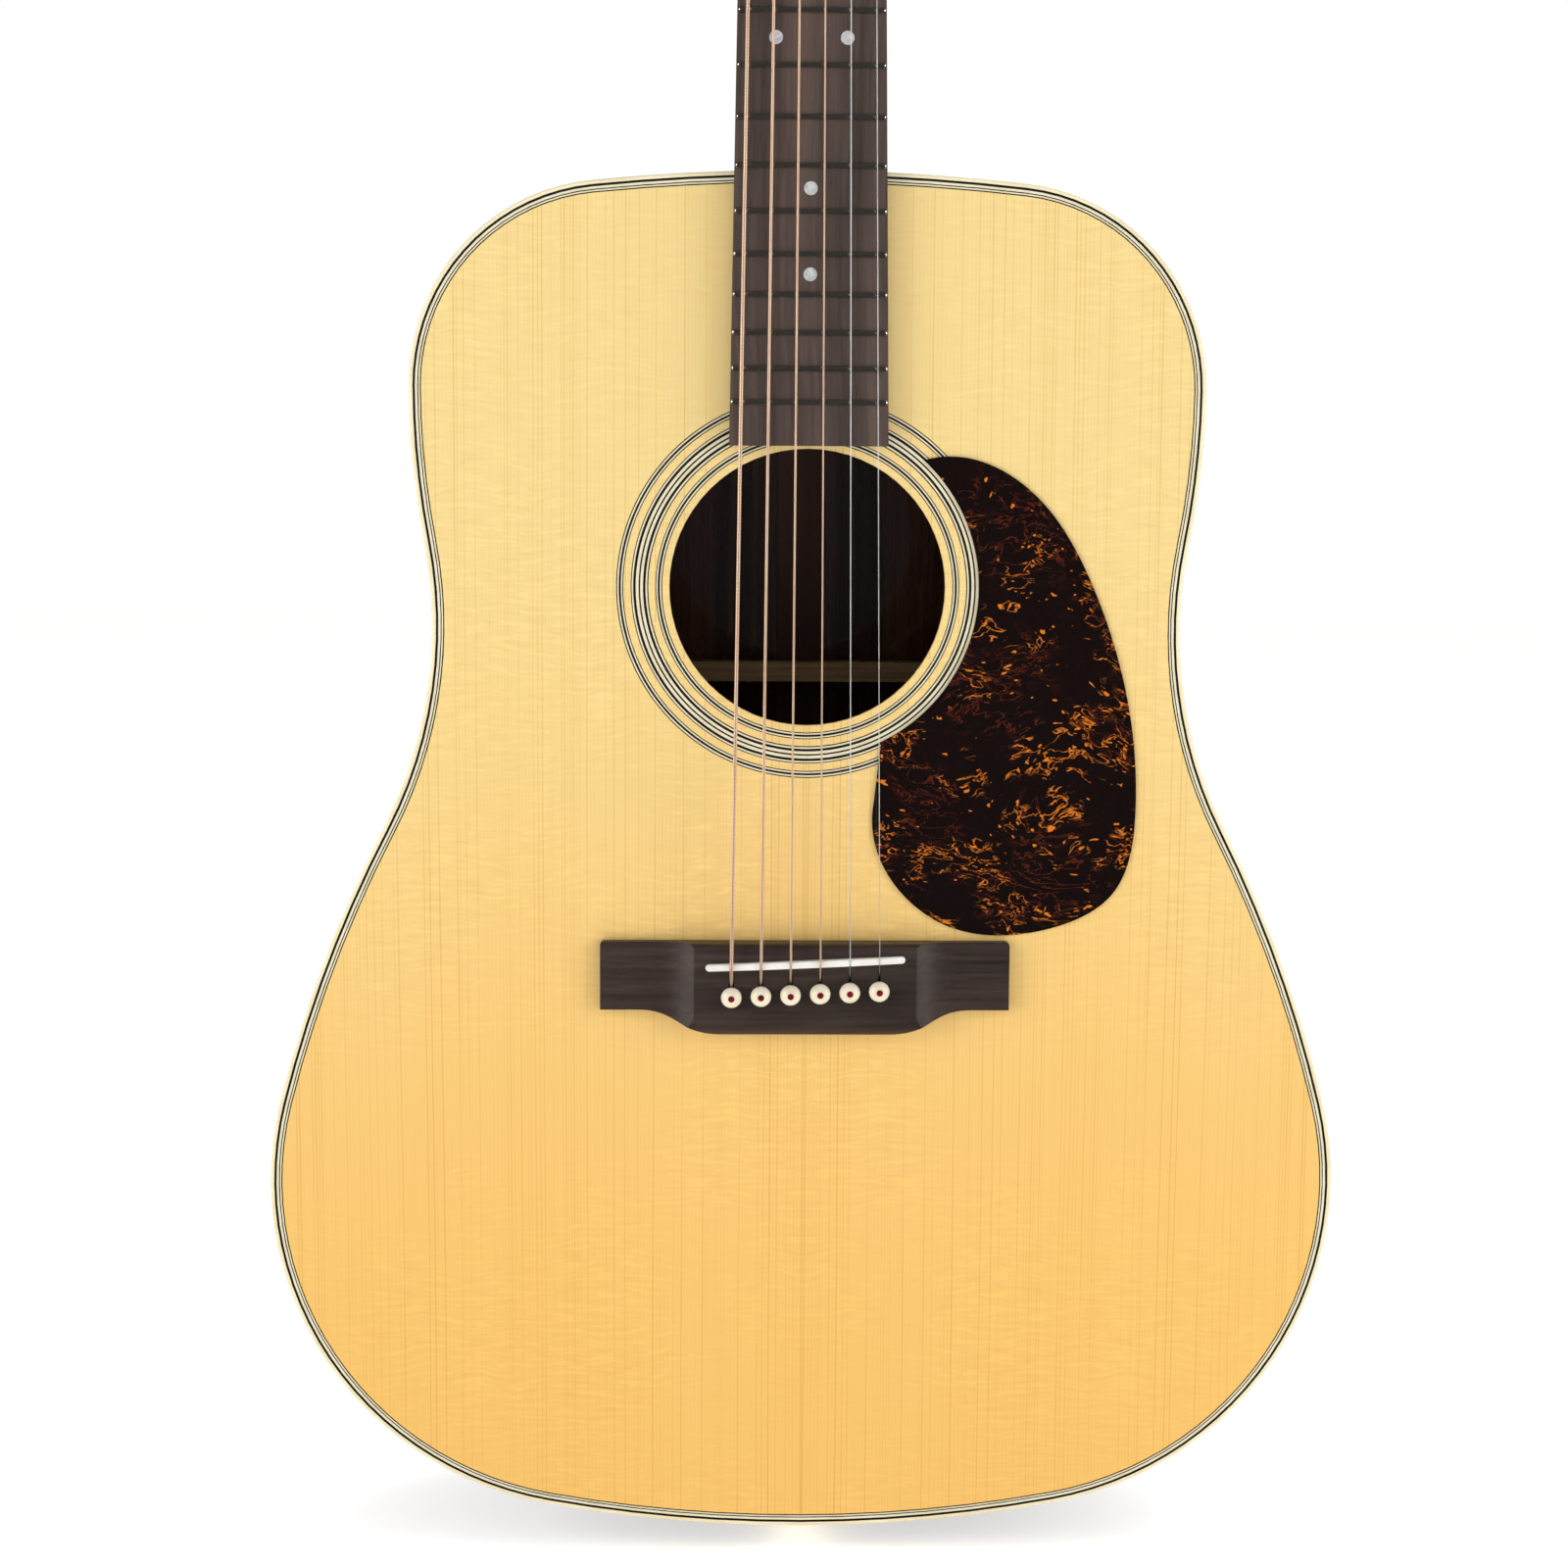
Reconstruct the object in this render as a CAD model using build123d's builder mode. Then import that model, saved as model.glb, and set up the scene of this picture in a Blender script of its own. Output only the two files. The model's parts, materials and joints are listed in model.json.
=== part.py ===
from build123d import *
import math
import os

os.makedirs("parts", exist_ok=True)

# Steel-string acoustic guitar, millimetres. +Z runs up the neck, the soundboard
# faces -Y and +X is the treble side. z = 0 is the tip of the end pin and y = 0
# the middle of the depth.

# --- layout -----------------------------------------------------------------
scale_length = 645.2
fret_count = 20
top_y = -56.0
nut_z = 878.5
body_top_z = nut_z - 358.6
hole_z = nut_z - 509.3
hole_radius = 50.8

# --- body -------------------------------------------------------------------
# half outline: tangent arcs clockwise from the neck joint, minus turns the other way
outline_radii = (743.5, 74.6, 305.0, 164.0, 490.0, 126.8)
outline_turns = (6.1, 83.8, 10.6, -38.0, 13.0, 94.0)
body_length = 508.8
top_thick = 2.9
side_thick = 2.3
back_thick = 2.8
back_radius = 4572.0
depth_at_neck = 98.4
depth_at_tail = 123.8
binding_thick = 1.5
binding_height = 6.4
purfling_depth = 1.5
black_lines = ((1.5, 2.4), (3.25, 3.65), (4.15, 4.6))
white_lines = ((2.4, 3.25), (3.65, 4.15))
purfling_inset = 4.6
lining_width = 5.8
lining_height = 14.0
block_half_width = 44.0
neck_block_length = 50.0
tail_block_length = 20.0
wedge_half_width = 9.0

# --- rosette: ring radii from the hole centre ---------------------------------
rosette_depth = 1.2
rosette_black_rings = (
    (53.4, 53.75), (54.25, 55.05), (55.55, 55.9),
    (58.5, 58.9), (59.5, 60.45), (61.45, 62.05), (63.1, 64.05), (64.6, 64.95),
    (67.7, 68.05), (68.55, 69.35), (69.9, 70.3),
)
rosette_white_rings = (
    (53.75, 54.25), (55.05, 55.55),
    (58.9, 59.5), (60.45, 61.45), (62.05, 63.1), (64.05, 64.6),
    (68.05, 68.55), (69.35, 69.9),
)
rosette_channels = ((53.4, 55.9), (58.5, 64.95), (67.7, 70.3))

# --- fingerboard, frets and nut ------------------------------------------------
board_thick = 6.35
board_radius = 406.4
board_end_z = nut_z - 457.6
nut_half_width = 22.225
width_gain = 4.775 / 322.6
fret_crown_width = 2.2
fret_crown_height = 1.1
fret_tang_width = 0.6
fret_tang_depth = 1.8
fret_end_inset = 1.3
dot_radius = 2.45
nut_thick = 5.0
nut_height = 9.2

# --- strings: gauge by number, 1 is the thin treble string ---------------------
string_gauge = (0.30, 0.41, 0.61, 0.81, 1.07, 1.35)
spacing_at_nut = 7.62
spacing_at_saddle = 10.96
height_at_nut = 7.95
height_at_saddle = 11.9

# --- bridge ----------------------------------------------------------------------
bridge_half_length = 76.2
bridge_top_z = nut_z - 640.5
wing_bottom_z = nut_z - 666.2
belly_bottom_z = nut_z - 675.4
bridge_height = 9.0
wing_height = 3.8
saddle_z = nut_z - 647.8
saddle_slant = 2.5
saddle_length = 74.0
saddle_thick = 2.7
pin_row_z = nut_z - 659.3
pin_top_radius = 2.6
pin_tip_radius = 2.2
pin_shank = 24.0
pin_head_radius = 3.85
pin_clearance = 0.05
plate_thick = 2.5

# --- headstock and tuning machines -------------------------------------------------
head_tilt = 15.0
head_length = 165.0
head_half_width = 31.5
head_top_half_width = 37.0
head_thick = 14.0
veneer_thick = 1.5
post_stations = (45.0, 90.0, 135.0)
edge_to_post = 10.5
post_radius = 3.0
post_bore = 4.5
post_above_face = 12.5
gear_teeth = 18
gear_pitch_radius = 6.3
gear_tip_radius = 6.9
gear_thick = 3.2
gear_gap = 1.5
gear_gap_floor = 5.35
worm_pitch = 2 * math.pi * gear_pitch_radius / gear_teeth
worm_pitch_radius = 2.9
worm_root_radius = 2.2
worm_tip_radius = 3.3
worm_offset = gear_pitch_radius + worm_pitch_radius
key_axis_height = 4.9
machine_plate_thick = 1.2
shaft_radius = 1.7


def behind(depth):
    # plane facing the audience, this far behind the soundboard's outer face
    return Plane(origin=(0, top_y + depth, 0), x_dir=(1, 0, 0), z_dir=(0, -1, 0))


def head_plane(lift):
    # plane of the headstock's face, lifted this far off it towards the audience
    lean = math.radians(head_tilt)
    origin_y = top_y - 1.0 - lift * math.cos(lean)
    origin_z = nut_z + nut_thick + lift * math.sin(lean)
    facing = (0, -math.cos(lean), math.sin(lean))
    return Plane(origin=(0, origin_y, origin_z), x_dir=(1, 0, 0), z_dir=facing)


def fret_z(number):
    return nut_z - scale_length * (1 - 2 ** (-number / 12))


def board_half_width(z):
    return nut_half_width + width_gain * (nut_z - z)


def board_drop(x):
    # how far the curved playing surface falls away at this distance from its middle
    return board_radius - math.sqrt(board_radius ** 2 - x ** 2)


def body_outline(inset):
    # the outline drawn this far inside the body's edge
    with BuildSketch() as shape:
        with BuildLine():
            start = (0, body_top_z - inset)
            heading = (1, 0)
            for radius, turn in zip(outline_radii, outline_turns):
                drawn = radius - inset if turn > 0 else radius + inset
                arc = JernArc(start=start, tangent=heading, radius=drawn, arc_size=-turn)
                start = arc @ 1
                heading = arc % 1
            last_turn = 180 - sum(outline_turns)
            last_radius = start.X / math.sin(math.radians(last_turn))
            JernArc(start=start, tangent=heading, radius=last_radius, arc_size=-last_turn)
            mirror(about=Plane.YZ)
        make_face()
    return shape.sketch


# the back is part of a large sphere through the body's depth at the neck and the tail
body_bottom_z = body_top_z - body_length
taper = math.atan((depth_at_tail - depth_at_neck) / body_length)
half_chord = math.hypot(body_length, depth_at_tail - depth_at_neck) / 2
arch_reach = math.sqrt(back_radius ** 2 - half_chord ** 2)
arch_centre = (
    0,
    top_y + (depth_at_neck + depth_at_tail) / 2 - arch_reach * math.cos(taper),
    (body_top_z + body_bottom_z) / 2 - arch_reach * math.sin(taper),
)


def keep_inside_arch(shrink):
    with Locations(arch_centre):
        Sphere(back_radius - shrink, mode=Mode.INTERSECT)


def cut_inside_arch(shrink):
    with Locations(arch_centre):
        Sphere(back_radius - shrink, mode=Mode.SUBTRACT)


def string_x(number, spacing):
    return (3.5 - number) * spacing


def pin_z(x):
    return pin_row_z + math.tan(math.radians(saddle_slant)) * x


def crown_z(x):
    return saddle_z + math.tan(math.radians(saddle_slant)) * x


def cut_pin_bores():
    for number in range(1, 7):
        x = string_x(number, spacing_at_saddle)
        middle_y = top_y - bridge_height + pin_shank / 2
        with Locations((x, middle_y, pin_z(x))):
            Cone(
                bottom_radius=pin_tip_radius + pin_clearance,
                top_radius=pin_top_radius + pin_clearance,
                height=pin_shank,
                rotation=(90, 0, 0),
                mode=Mode.SUBTRACT,
            )


def post_x(number):
    # strings 1 to 3 go to the treble side, 4 to 6 to the bass side
    station = post_station(number)
    edge = head_half_width + (station - 22) * (head_top_half_width - head_half_width) / (head_length - 24)
    return (edge - edge_to_post) * (1 if number <= 3 else -1)


def post_station(number):
    return post_stations[number - 1] if number <= 3 else post_stations[6 - number]


def string_path(number):
    # ball end, up the pin, over the saddle and the nut and on to the tuning post
    gauge = string_gauge[number - 1]
    x_saddle = string_x(number, spacing_at_saddle)
    x_nut = string_x(number, spacing_at_nut)
    side = 1 if number <= 3 else -1
    in_slot = pin_z(x_saddle) + pin_tip_radius - gauge / 2
    over_saddle = height_at_saddle - board_drop(x_saddle) + gauge / 2 + 0.03
    over_nut = height_at_nut - board_drop(x_nut) + gauge / 2 + 0.03
    x_post = post_x(number) - side * (post_radius + gauge / 2 + 0.35)
    wrap = head_plane(6.5)
    post_point = wrap.from_local_coords(Vector(x_post, post_station(number), 0))
    with BuildLine() as path:
        FilletPolyline(
            (x_saddle, top_y + 8.2, in_slot + 2.9),
            (x_saddle, top_y + 6.3, in_slot),
            (x_saddle, top_y - 6.0, in_slot),
            (x_saddle, top_y - over_saddle, crown_z(x_saddle) - 0.75),
            (x_nut, top_y - over_nut, nut_z + 0.8),
            post_point,
            radius=1.0,
        )
    return path.wires()[0]


def string_section(number, clearance):
    path = string_path(number)
    with BuildSketch(Plane(origin=path @ 0, z_dir=path % 0)) as section:
        Circle(string_gauge[number - 1] / 2 + clearance)
    return section.sketch


def head_outline():
    with BuildSketch() as shape:
        with BuildLine():
            foot = Line((0, 0.6), (nut_half_width, 0.6))
            cheek = Spline(foot @ 1, (head_half_width, 22), tangents=((0.1, 1), (0.05, 1)))
            edge = Line(cheek @ 1, (head_top_half_width, head_length - 2))
            corner = RadiusArc(edge @ 1, (head_top_half_width - 2, head_length), -2)
            Line(corner @ 1, (0, head_length))
            mirror(about=Plane.YZ)
        make_face()
    return shape.sketch


# --- binding and purfling ------------------------------------------------------------
with BuildPart() as top_binding:
    with BuildSketch(behind(0)):
        add(body_outline(0))
        add(body_outline(binding_thick), mode=Mode.SUBTRACT)
    extrude(amount=-binding_height)
    front_face = top_binding.faces().sort_by(Axis.Y)[0]
    fillet(front_face.outer_wire().edges(), radius=0.7)
top_binding.part.label = "top_binding"
export_step(top_binding.part, "parts/top_binding.step")

with BuildPart() as back_binding:
    with BuildSketch(behind(60)):
        add(body_outline(0))
        add(body_outline(binding_thick), mode=Mode.SUBTRACT)
    extrude(amount=-80)
    keep_inside_arch(0)
    cut_inside_arch(binding_height)
back_binding.part.label = "back_binding"
export_step(back_binding.part, "parts/back_binding.step")

with BuildPart() as top_purfling_black:
    for outer, inner in black_lines:
        with BuildSketch(behind(0)):
            add(body_outline(outer))
            add(body_outline(inner), mode=Mode.SUBTRACT)
        extrude(amount=-purfling_depth)
top_purfling_black.part.label = "top_purfling_black"
export_step(top_purfling_black.part, "parts/top_purfling_black.step")

with BuildPart() as top_purfling_white:
    for outer, inner in white_lines:
        with BuildSketch(behind(0)):
            add(body_outline(outer))
            add(body_outline(inner), mode=Mode.SUBTRACT)
        extrude(amount=-purfling_depth)
top_purfling_white.part.label = "top_purfling_white"
export_step(top_purfling_white.part, "parts/top_purfling_white.step")

# --- soundboard in two bookmatched halves, with its channels --------------------------
with BuildPart() as soundboard:
    with BuildSketch(behind(0)):
        add(body_outline(binding_thick))
        with Locations((0, hole_z)):
            Circle(hole_radius, mode=Mode.SUBTRACT)
    extrude(amount=-top_thick)
    with BuildSketch(behind(0)):
        add(body_outline(binding_thick))
        add(body_outline(purfling_inset), mode=Mode.SUBTRACT)
    extrude(amount=-purfling_depth, mode=Mode.SUBTRACT)
    for inner, outer in rosette_channels:
        with BuildSketch(behind(0)):
            with Locations((0, hole_z)):
                Circle(outer)
                Circle(inner, mode=Mode.SUBTRACT)
        extrude(amount=-rosette_depth, mode=Mode.SUBTRACT)
    cut_pin_bores()
    split(bisect_by=Plane.YZ, keep=Keep.BOTH)
soundboard.part.label = "soundboard"
export_step(soundboard.part, "parts/soundboard.step")

with BuildPart() as rosette_black:
    for inner, outer in rosette_black_rings:
        with BuildSketch(behind(0)):
            with Locations((0, hole_z)):
                Circle(outer)
                Circle(inner, mode=Mode.SUBTRACT)
        extrude(amount=-rosette_depth)
rosette_black.part.label = "rosette_black"
export_step(rosette_black.part, "parts/rosette_black.step")

with BuildPart() as rosette_white:
    for inner, outer in rosette_white_rings:
        with BuildSketch(behind(0)):
            with Locations((0, hole_z)):
                Circle(outer)
                Circle(inner, mode=Mode.SUBTRACT)
        extrude(amount=-rosette_depth)
rosette_white.part.label = "rosette_white"
export_step(rosette_white.part, "parts/rosette_white.step")

# --- back: decorative strip, two halves, braces and the cross-grain joint strip --------
with BuildPart() as back_strip:
    with BuildSketch(behind(60)):
        add(body_outline(binding_thick))
        with Locations((0, body_top_z - body_length / 2)):
            Rectangle(7, body_length + 20, mode=Mode.INTERSECT)
    extrude(amount=-80)
    keep_inside_arch(0)
    cut_inside_arch(1.2)
back_strip.part.label = "back_strip"
export_step(back_strip.part, "parts/back_strip.step")

with BuildPart() as back_plate:
    with BuildSketch(behind(60)):
        add(body_outline(binding_thick))
    extrude(amount=-80)
    keep_inside_arch(0)
    cut_inside_arch(back_thick)
    add(back_strip.part, mode=Mode.SUBTRACT)
    split(bisect_by=Plane.YZ, keep=Keep.BOTH)
back_plate.part.label = "back_plate"
export_step(back_plate.part, "parts/back_plate.step")

# two tall narrow braces above, two low broad ones below: station, breadth, height
back_brace_sizes = ((430, 8, 15), (332, 8, 15), (225, 18, 10), (115, 18, 10))

with BuildPart() as back_braces:
    for brace_z, breadth, height in back_brace_sizes:
        with BuildSketch(behind(60)):
            add(body_outline(side_thick + lining_width))
            with Locations((0, brace_z)):
                Rectangle(500, breadth, mode=Mode.INTERSECT)
        extrude(amount=-80)
    keep_inside_arch(back_thick)
    cut_inside_arch(back_thick + 15)
    for brace_z, breadth, height in back_brace_sizes[2:]:
        with Locations((0, top_y + 60 + 38, brace_z)):
            Box(500, 10, breadth + 2, mode=Mode.SUBTRACT)
back_braces.part.label = "back_braces"
export_step(back_braces.part, "parts/back_braces.step")

# --- end blocks and kerfed linings -------------------------------------------------------
tenon_half_width = 10.0
tenon_reach = 20.0
tenon_bottom = 84.0

with BuildPart() as body_volume:
    with BuildSketch(behind(0)):
        add(body_outline(0))
    extrude(amount=-130)

# heel sections: depth behind the soundboard's face, half width, length up the neck
heel_sections = ((9, 27.2, 74), (17, 25.6, 54), (30, 20.5, 38), (50, 15.5, 29), (75, 12.3, 25), (96.8, 11.5, 24))


def heel_face(half_width, rise):
    with BuildSketch() as shape:
        with BuildLine():
            bow = EllipticalCenterArc(
                center=(0, body_top_z - 4),
                x_radius=half_width,
                y_radius=rise + 4,
                start_angle=0,
                arc_size=180,
            )
            Line(bow @ 1, bow @ 0)
        make_face()
    return shape.sketch


rod_top = 6.6
rod_depth = 5.5
rod_half_width = 3.1
rod_low = body_top_z - neck_block_length
rod_length = nut_z - 6 - rod_low
rod_place = (0, top_y + rod_top + rod_depth / 2, rod_low + rod_length / 2)
machine_screws = ((-8.0, 2.0), (9.2, 2.4))


def machine_plane(number):
    # post axis on the headstock's back: x points outward, z away from the wood
    lean = math.radians(head_tilt)
    side = 1 if number <= 3 else -1
    back = head_plane(-(veneer_thick + head_thick))
    spot = back.from_local_coords(Vector(post_x(number), post_station(number), 0))
    return Plane(origin=spot, x_dir=(side, 0, 0), z_dir=(0, math.cos(lean), -math.sin(lean)))


def worm_side(number):
    # the key always lies on the nut's side of its post
    return 1 if number <= 3 else -1


def screw_points(number):
    turn = worm_side(number)
    spots = [Vector(a, b * turn, 0) for a, b in machine_screws]
    return [machine_plane(number).from_local_coords(spot) for spot in spots]


with BuildPart() as neck:
    for z, back in ((body_top_z - 2, 18.0), (nut_z + nut_thick, 15.0)):
        with BuildSketch(Plane.XY.offset(z)):
            with BuildLine():
                bow = EllipticalCenterArc(
                    center=(0, top_y),
                    x_radius=board_half_width(z) - 0.05,
                    y_radius=back,
                    start_angle=0,
                    arc_size=180,
                )
                Line(bow @ 1, bow @ 0)
            make_face()
    loft()
    for depth, half_width, rise in heel_sections:
        with BuildSketch(behind(depth)):
            add(heel_face(half_width, rise))
    loft()
    add(body_volume.part, mode=Mode.SUBTRACT)
    with Locations((0, top_y + (binding_height + tenon_bottom) / 2, body_top_z - tenon_reach / 2 + 1)):
        Box(2 * tenon_half_width, tenon_bottom - binding_height, tenon_reach + 2)
    with BuildSketch(head_plane(-veneer_thick)):
        add(head_outline())
    extrude(amount=-head_thick)
    with BuildSketch(head_plane(-veneer_thick)):
        for number in range(1, 7):
            with Locations((post_x(number), post_station(number))):
                Circle(post_bore)
    extrude(amount=-head_thick, mode=Mode.SUBTRACT)
    for number in range(1, 7):
        for spot in screw_points(number):
            pilot = Plane(origin=spot, x_dir=(1, 0, 0), z_dir=machine_plane(number).z_dir)
            with BuildSketch(pilot):
                Circle(1.1)
            extrude(amount=-9, mode=Mode.SUBTRACT)
    with Locations(rod_place):
        Box(2 * rod_half_width, rod_depth, rod_length, mode=Mode.SUBTRACT)
neck.part.label = "neck"
export_step(neck.part, "parts/neck.step")

with BuildPart() as truss_rod:
    with Locations(rod_place):
        Box(2 * rod_half_width, rod_depth, rod_length)
    with Locations((0, rod_place[1], rod_low)):
        Cylinder(3.1, 13, align=(Align.CENTER, Align.CENTER, Align.MAX))
    with BuildSketch(Plane(origin=(0, rod_place[1], rod_low - 13), z_dir=(0, 0, 1))):
        RegularPolygon(2.4, 6)
    extrude(amount=6, mode=Mode.SUBTRACT)
truss_rod.part.label = "truss_rod"
export_step(truss_rod.part, "parts/truss_rod.step")

with BuildPart() as heel_cap:
    with BuildSketch(behind(heel_sections[-1][0])):
        add(heel_face(heel_sections[-1][1], heel_sections[-1][2]))
    extrude(amount=-1.6)
    add(body_volume.part, mode=Mode.SUBTRACT)
heel_cap.part.label = "heel_cap"
export_step(heel_cap.part, "parts/heel_cap.step")

with BuildPart() as neck_block:
    with BuildSketch(behind(top_thick)):
        add(body_outline(side_thick))
        with Locations((0, body_top_z)):
            Rectangle(2 * block_half_width, 2 * neck_block_length, mode=Mode.INTERSECT)
    extrude(amount=-125)
    keep_inside_arch(back_thick)
    add(neck.part, mode=Mode.SUBTRACT)
    add(truss_rod.part, mode=Mode.SUBTRACT)
neck_block.part.label = "neck_block"
export_step(neck_block.part, "parts/neck_block.step")

# --- end pin, plugged into the tail block from below ----------------------------------------
pin_axis_depth = 61.0


def plug_radius(z):
    # the plug and its bore taper together
    return 5.95 - 0.02 * (z - body_bottom_z)


with BuildPart() as end_pin:
    with BuildSketch(Plane(origin=(0, top_y + pin_axis_depth, 0), x_dir=(1, 0, 0), z_dir=(0, -1, 0))):
        with BuildLine():
            tip = Line((0, 0), (3.0, 0))
            dome = RadiusArc(tip @ 1, (6.6, 2.6), -4.2)
            rim = Line(dome @ 1, (6.6, 4.2))
            waist = ThreePointArc(rim @ 1, (4.3, 6.6), (6.2, 9.4))
            collar = Line(waist @ 1, (7.4, body_bottom_z - 0.3))
            seat = Line(collar @ 1, (plug_radius(body_bottom_z - 0.3), body_bottom_z - 0.3))
            plug = Line(seat @ 1, (plug_radius(body_bottom_z + 19), body_bottom_z + 19))
            end = Line(plug @ 1, (0, body_bottom_z + 19))
            Line(end @ 1, tip @ 0)
        make_face()
    revolve(axis=Axis((0, top_y + pin_axis_depth, 0), (0, 0, 1)))
end_pin.part.label = "end_pin"
export_step(end_pin.part, "parts/end_pin.step")


def cut_plug_bore():
    low = body_bottom_z - 2
    high = body_bottom_z + 20
    with Locations((0, top_y + pin_axis_depth, (low + high) / 2)):
        Cone(plug_radius(low) + 0.05, plug_radius(high) + 0.05, high - low, mode=Mode.SUBTRACT)


with BuildPart() as tail_block:
    with BuildSketch(behind(top_thick)):
        add(body_outline(side_thick))
        with Locations((0, body_bottom_z)):
            Rectangle(2 * block_half_width, 2 * tail_block_length, mode=Mode.INTERSECT)
    extrude(amount=-125)
    keep_inside_arch(back_thick)
    cut_plug_bore()
tail_block.part.label = "tail_block"
export_step(tail_block.part, "parts/tail_block.step")

with BuildPart() as end_wedge:
    with BuildSketch(behind(top_thick)):
        add(body_outline(0))
        add(body_outline(side_thick), mode=Mode.SUBTRACT)
        with Locations((0, body_bottom_z)):
            Rectangle(2 * wedge_half_width, 40, mode=Mode.INTERSECT)
    extrude(amount=-125)
    keep_inside_arch(back_thick)
    add(top_binding.part, mode=Mode.SUBTRACT)
    add(back_binding.part, mode=Mode.SUBTRACT)
    cut_plug_bore()
end_wedge.part.label = "end_wedge"
export_step(end_wedge.part, "parts/end_wedge.step")

for name, sign in (("side_bass", -1), ("side_treble", 1)):
    with BuildPart() as side:
        with BuildSketch(behind(top_thick)):
            add(body_outline(0))
            add(body_outline(side_thick), mode=Mode.SUBTRACT)
            with Locations((sign * 150, body_bottom_z + body_length / 2)):
                Rectangle(300, body_length + 40, mode=Mode.INTERSECT)
            with Locations((0, body_bottom_z)):
                Rectangle(2 * wedge_half_width, 40, mode=Mode.SUBTRACT)
        extrude(amount=-125)
        keep_inside_arch(back_thick)
        add(top_binding.part, mode=Mode.SUBTRACT)
        add(back_binding.part, mode=Mode.SUBTRACT)
        with Locations((0, top_y + (binding_height + tenon_bottom) / 2, body_top_z)):
            Box(2 * tenon_half_width, tenon_bottom - binding_height, 12, mode=Mode.SUBTRACT)
    side.part.label = name
    export_step(side.part, f"parts/{name}.step")

with BuildPart() as linings:
    with BuildSketch(behind(60)) as lining_ring:
        add(body_outline(side_thick))
        add(body_outline(side_thick + lining_width), mode=Mode.SUBTRACT)
        with Locations((0, body_bottom_z), (0, body_top_z)):
            Rectangle(2 * block_half_width, 60, mode=Mode.SUBTRACT)
    extrude(amount=-70)
    keep_inside_arch(back_thick)
    cut_inside_arch(back_thick + lining_height)
    with BuildSketch(behind(top_thick)):
        add(body_outline(side_thick))
        add(body_outline(side_thick + lining_width), mode=Mode.SUBTRACT)
        with Locations((0, body_bottom_z), (0, body_top_z)):
            Rectangle(2 * block_half_width, 60, mode=Mode.SUBTRACT)
    extrude(amount=-lining_height)
    split(bisect_by=Plane.YZ, keep=Keep.BOTH)
linings.part.label = "linings"
export_step(linings.part, "parts/linings.step")

with BuildPart() as back_joint_strip:
    with BuildSketch(behind(60)):
        with Locations((0, body_bottom_z + body_length / 2 - 15)):
            Rectangle(18, body_length - 80)
    extrude(amount=-80)
    keep_inside_arch(back_thick)
    cut_inside_arch(back_thick + 2.2)
    add(back_braces.part, mode=Mode.SUBTRACT)
back_joint_strip.part.label = "back_joint_strip"
export_step(back_joint_strip.part, "parts/back_joint_strip.step")

# --- bracing under the soundboard --------------------------------------------------------
cross_z = hole_z - 89.0
cross_half_angle = 49.0


def brace_bar(start, end, breadth, height):
    # a bar with its ends shaved down, lying on the soundboard's inner face
    run = math.hypot(end[0] - start[0], end[1] - start[1])
    along = ((end[0] - start[0]) / run, 0, (end[1] - start[1]) / run)
    across = (-along[2], 0, along[0])
    foot = (start[0], top_y + top_thick, start[1])
    with BuildPart() as bar:
        with BuildSketch(Plane(origin=foot, x_dir=along, z_dir=across)) as side_view:
            with BuildLine():
                shave = min(45.0, run / 3)
                Polyline((0, 0), (run, 0), (run, 2), (run - shave, height), (shave, height), (0, 2), close=True)
            make_face()
        extrude(amount=breadth / 2, both=True)
    return bar.part


def from_cross(angle, reach):
    lean = math.radians(angle)
    return (reach * math.sin(lean), cross_z + reach * math.cos(lean))


def keep_between_linings():
    with BuildSketch(behind(0)) as inner:
        add(body_outline(side_thick + lining_width + 0.4))
    extrude(to_extrude=inner.sketch, amount=-60, mode=Mode.INTERSECT)


with BuildPart() as x_brace:
    add(brace_bar(from_cross(cross_half_angle, 172), from_cross(180 + cross_half_angle, 250), 8, 14))
    add(
        brace_bar(from_cross(-cross_half_angle, 172), from_cross(180 - cross_half_angle, 250), 8.2, 15),
        mode=Mode.SUBTRACT,
    )
    add(brace_bar(from_cross(-cross_half_angle, 172), from_cross(180 - cross_half_angle, 250), 8, 14))
    keep_between_linings()
x_brace.part.label = "x_brace"
export_step(x_brace.part, "parts/x_brace.step")

# above the hole, beside the hole, finger braces and the two tone bars
top_bars = (
    ((-150, hole_z + 74), (150, hole_z + 74), 12, 14),
    ((-57, hole_z - 12), (-57, hole_z + 66), 5, 6),
    ((57, hole_z - 12), (57, hole_z + 66), 5, 6),
    ((-66, 251), (-170, 266), 6, 9),
    ((66, 251), (170, 266), 6, 9),
    ((-104, 215), (-210, 208), 6, 9),
    ((104, 215), (210, 208), 6, 9),
    ((100, 178), (-104, 92), 7, 11),
    ((122, 142), (-30, 76), 7, 11),
)

with BuildPart() as top_braces:
    for start, end, breadth, height in top_bars:
        add(brace_bar(start, end, breadth, height))
    keep_between_linings()
top_braces.part.label = "top_braces"
export_step(top_braces.part, "parts/top_braces.step")

with BuildPart() as bridge_plate:
    with BuildSketch(behind(top_thick)):
        with BuildLine():
            Polyline((-40, 236), (40, 236), (72, 205), (-72, 205), close=True)
        make_face()
    extrude(amount=-plate_thick)
    cut_pin_bores()
bridge_plate.part.label = "bridge_plate"
export_step(bridge_plate.part, "parts/bridge_plate.step")

# --- pickguard: one long curve, a short straight and an arc that follows the rosette --------
guard_thick = 0.8
guard_radius = 63.2

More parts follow.
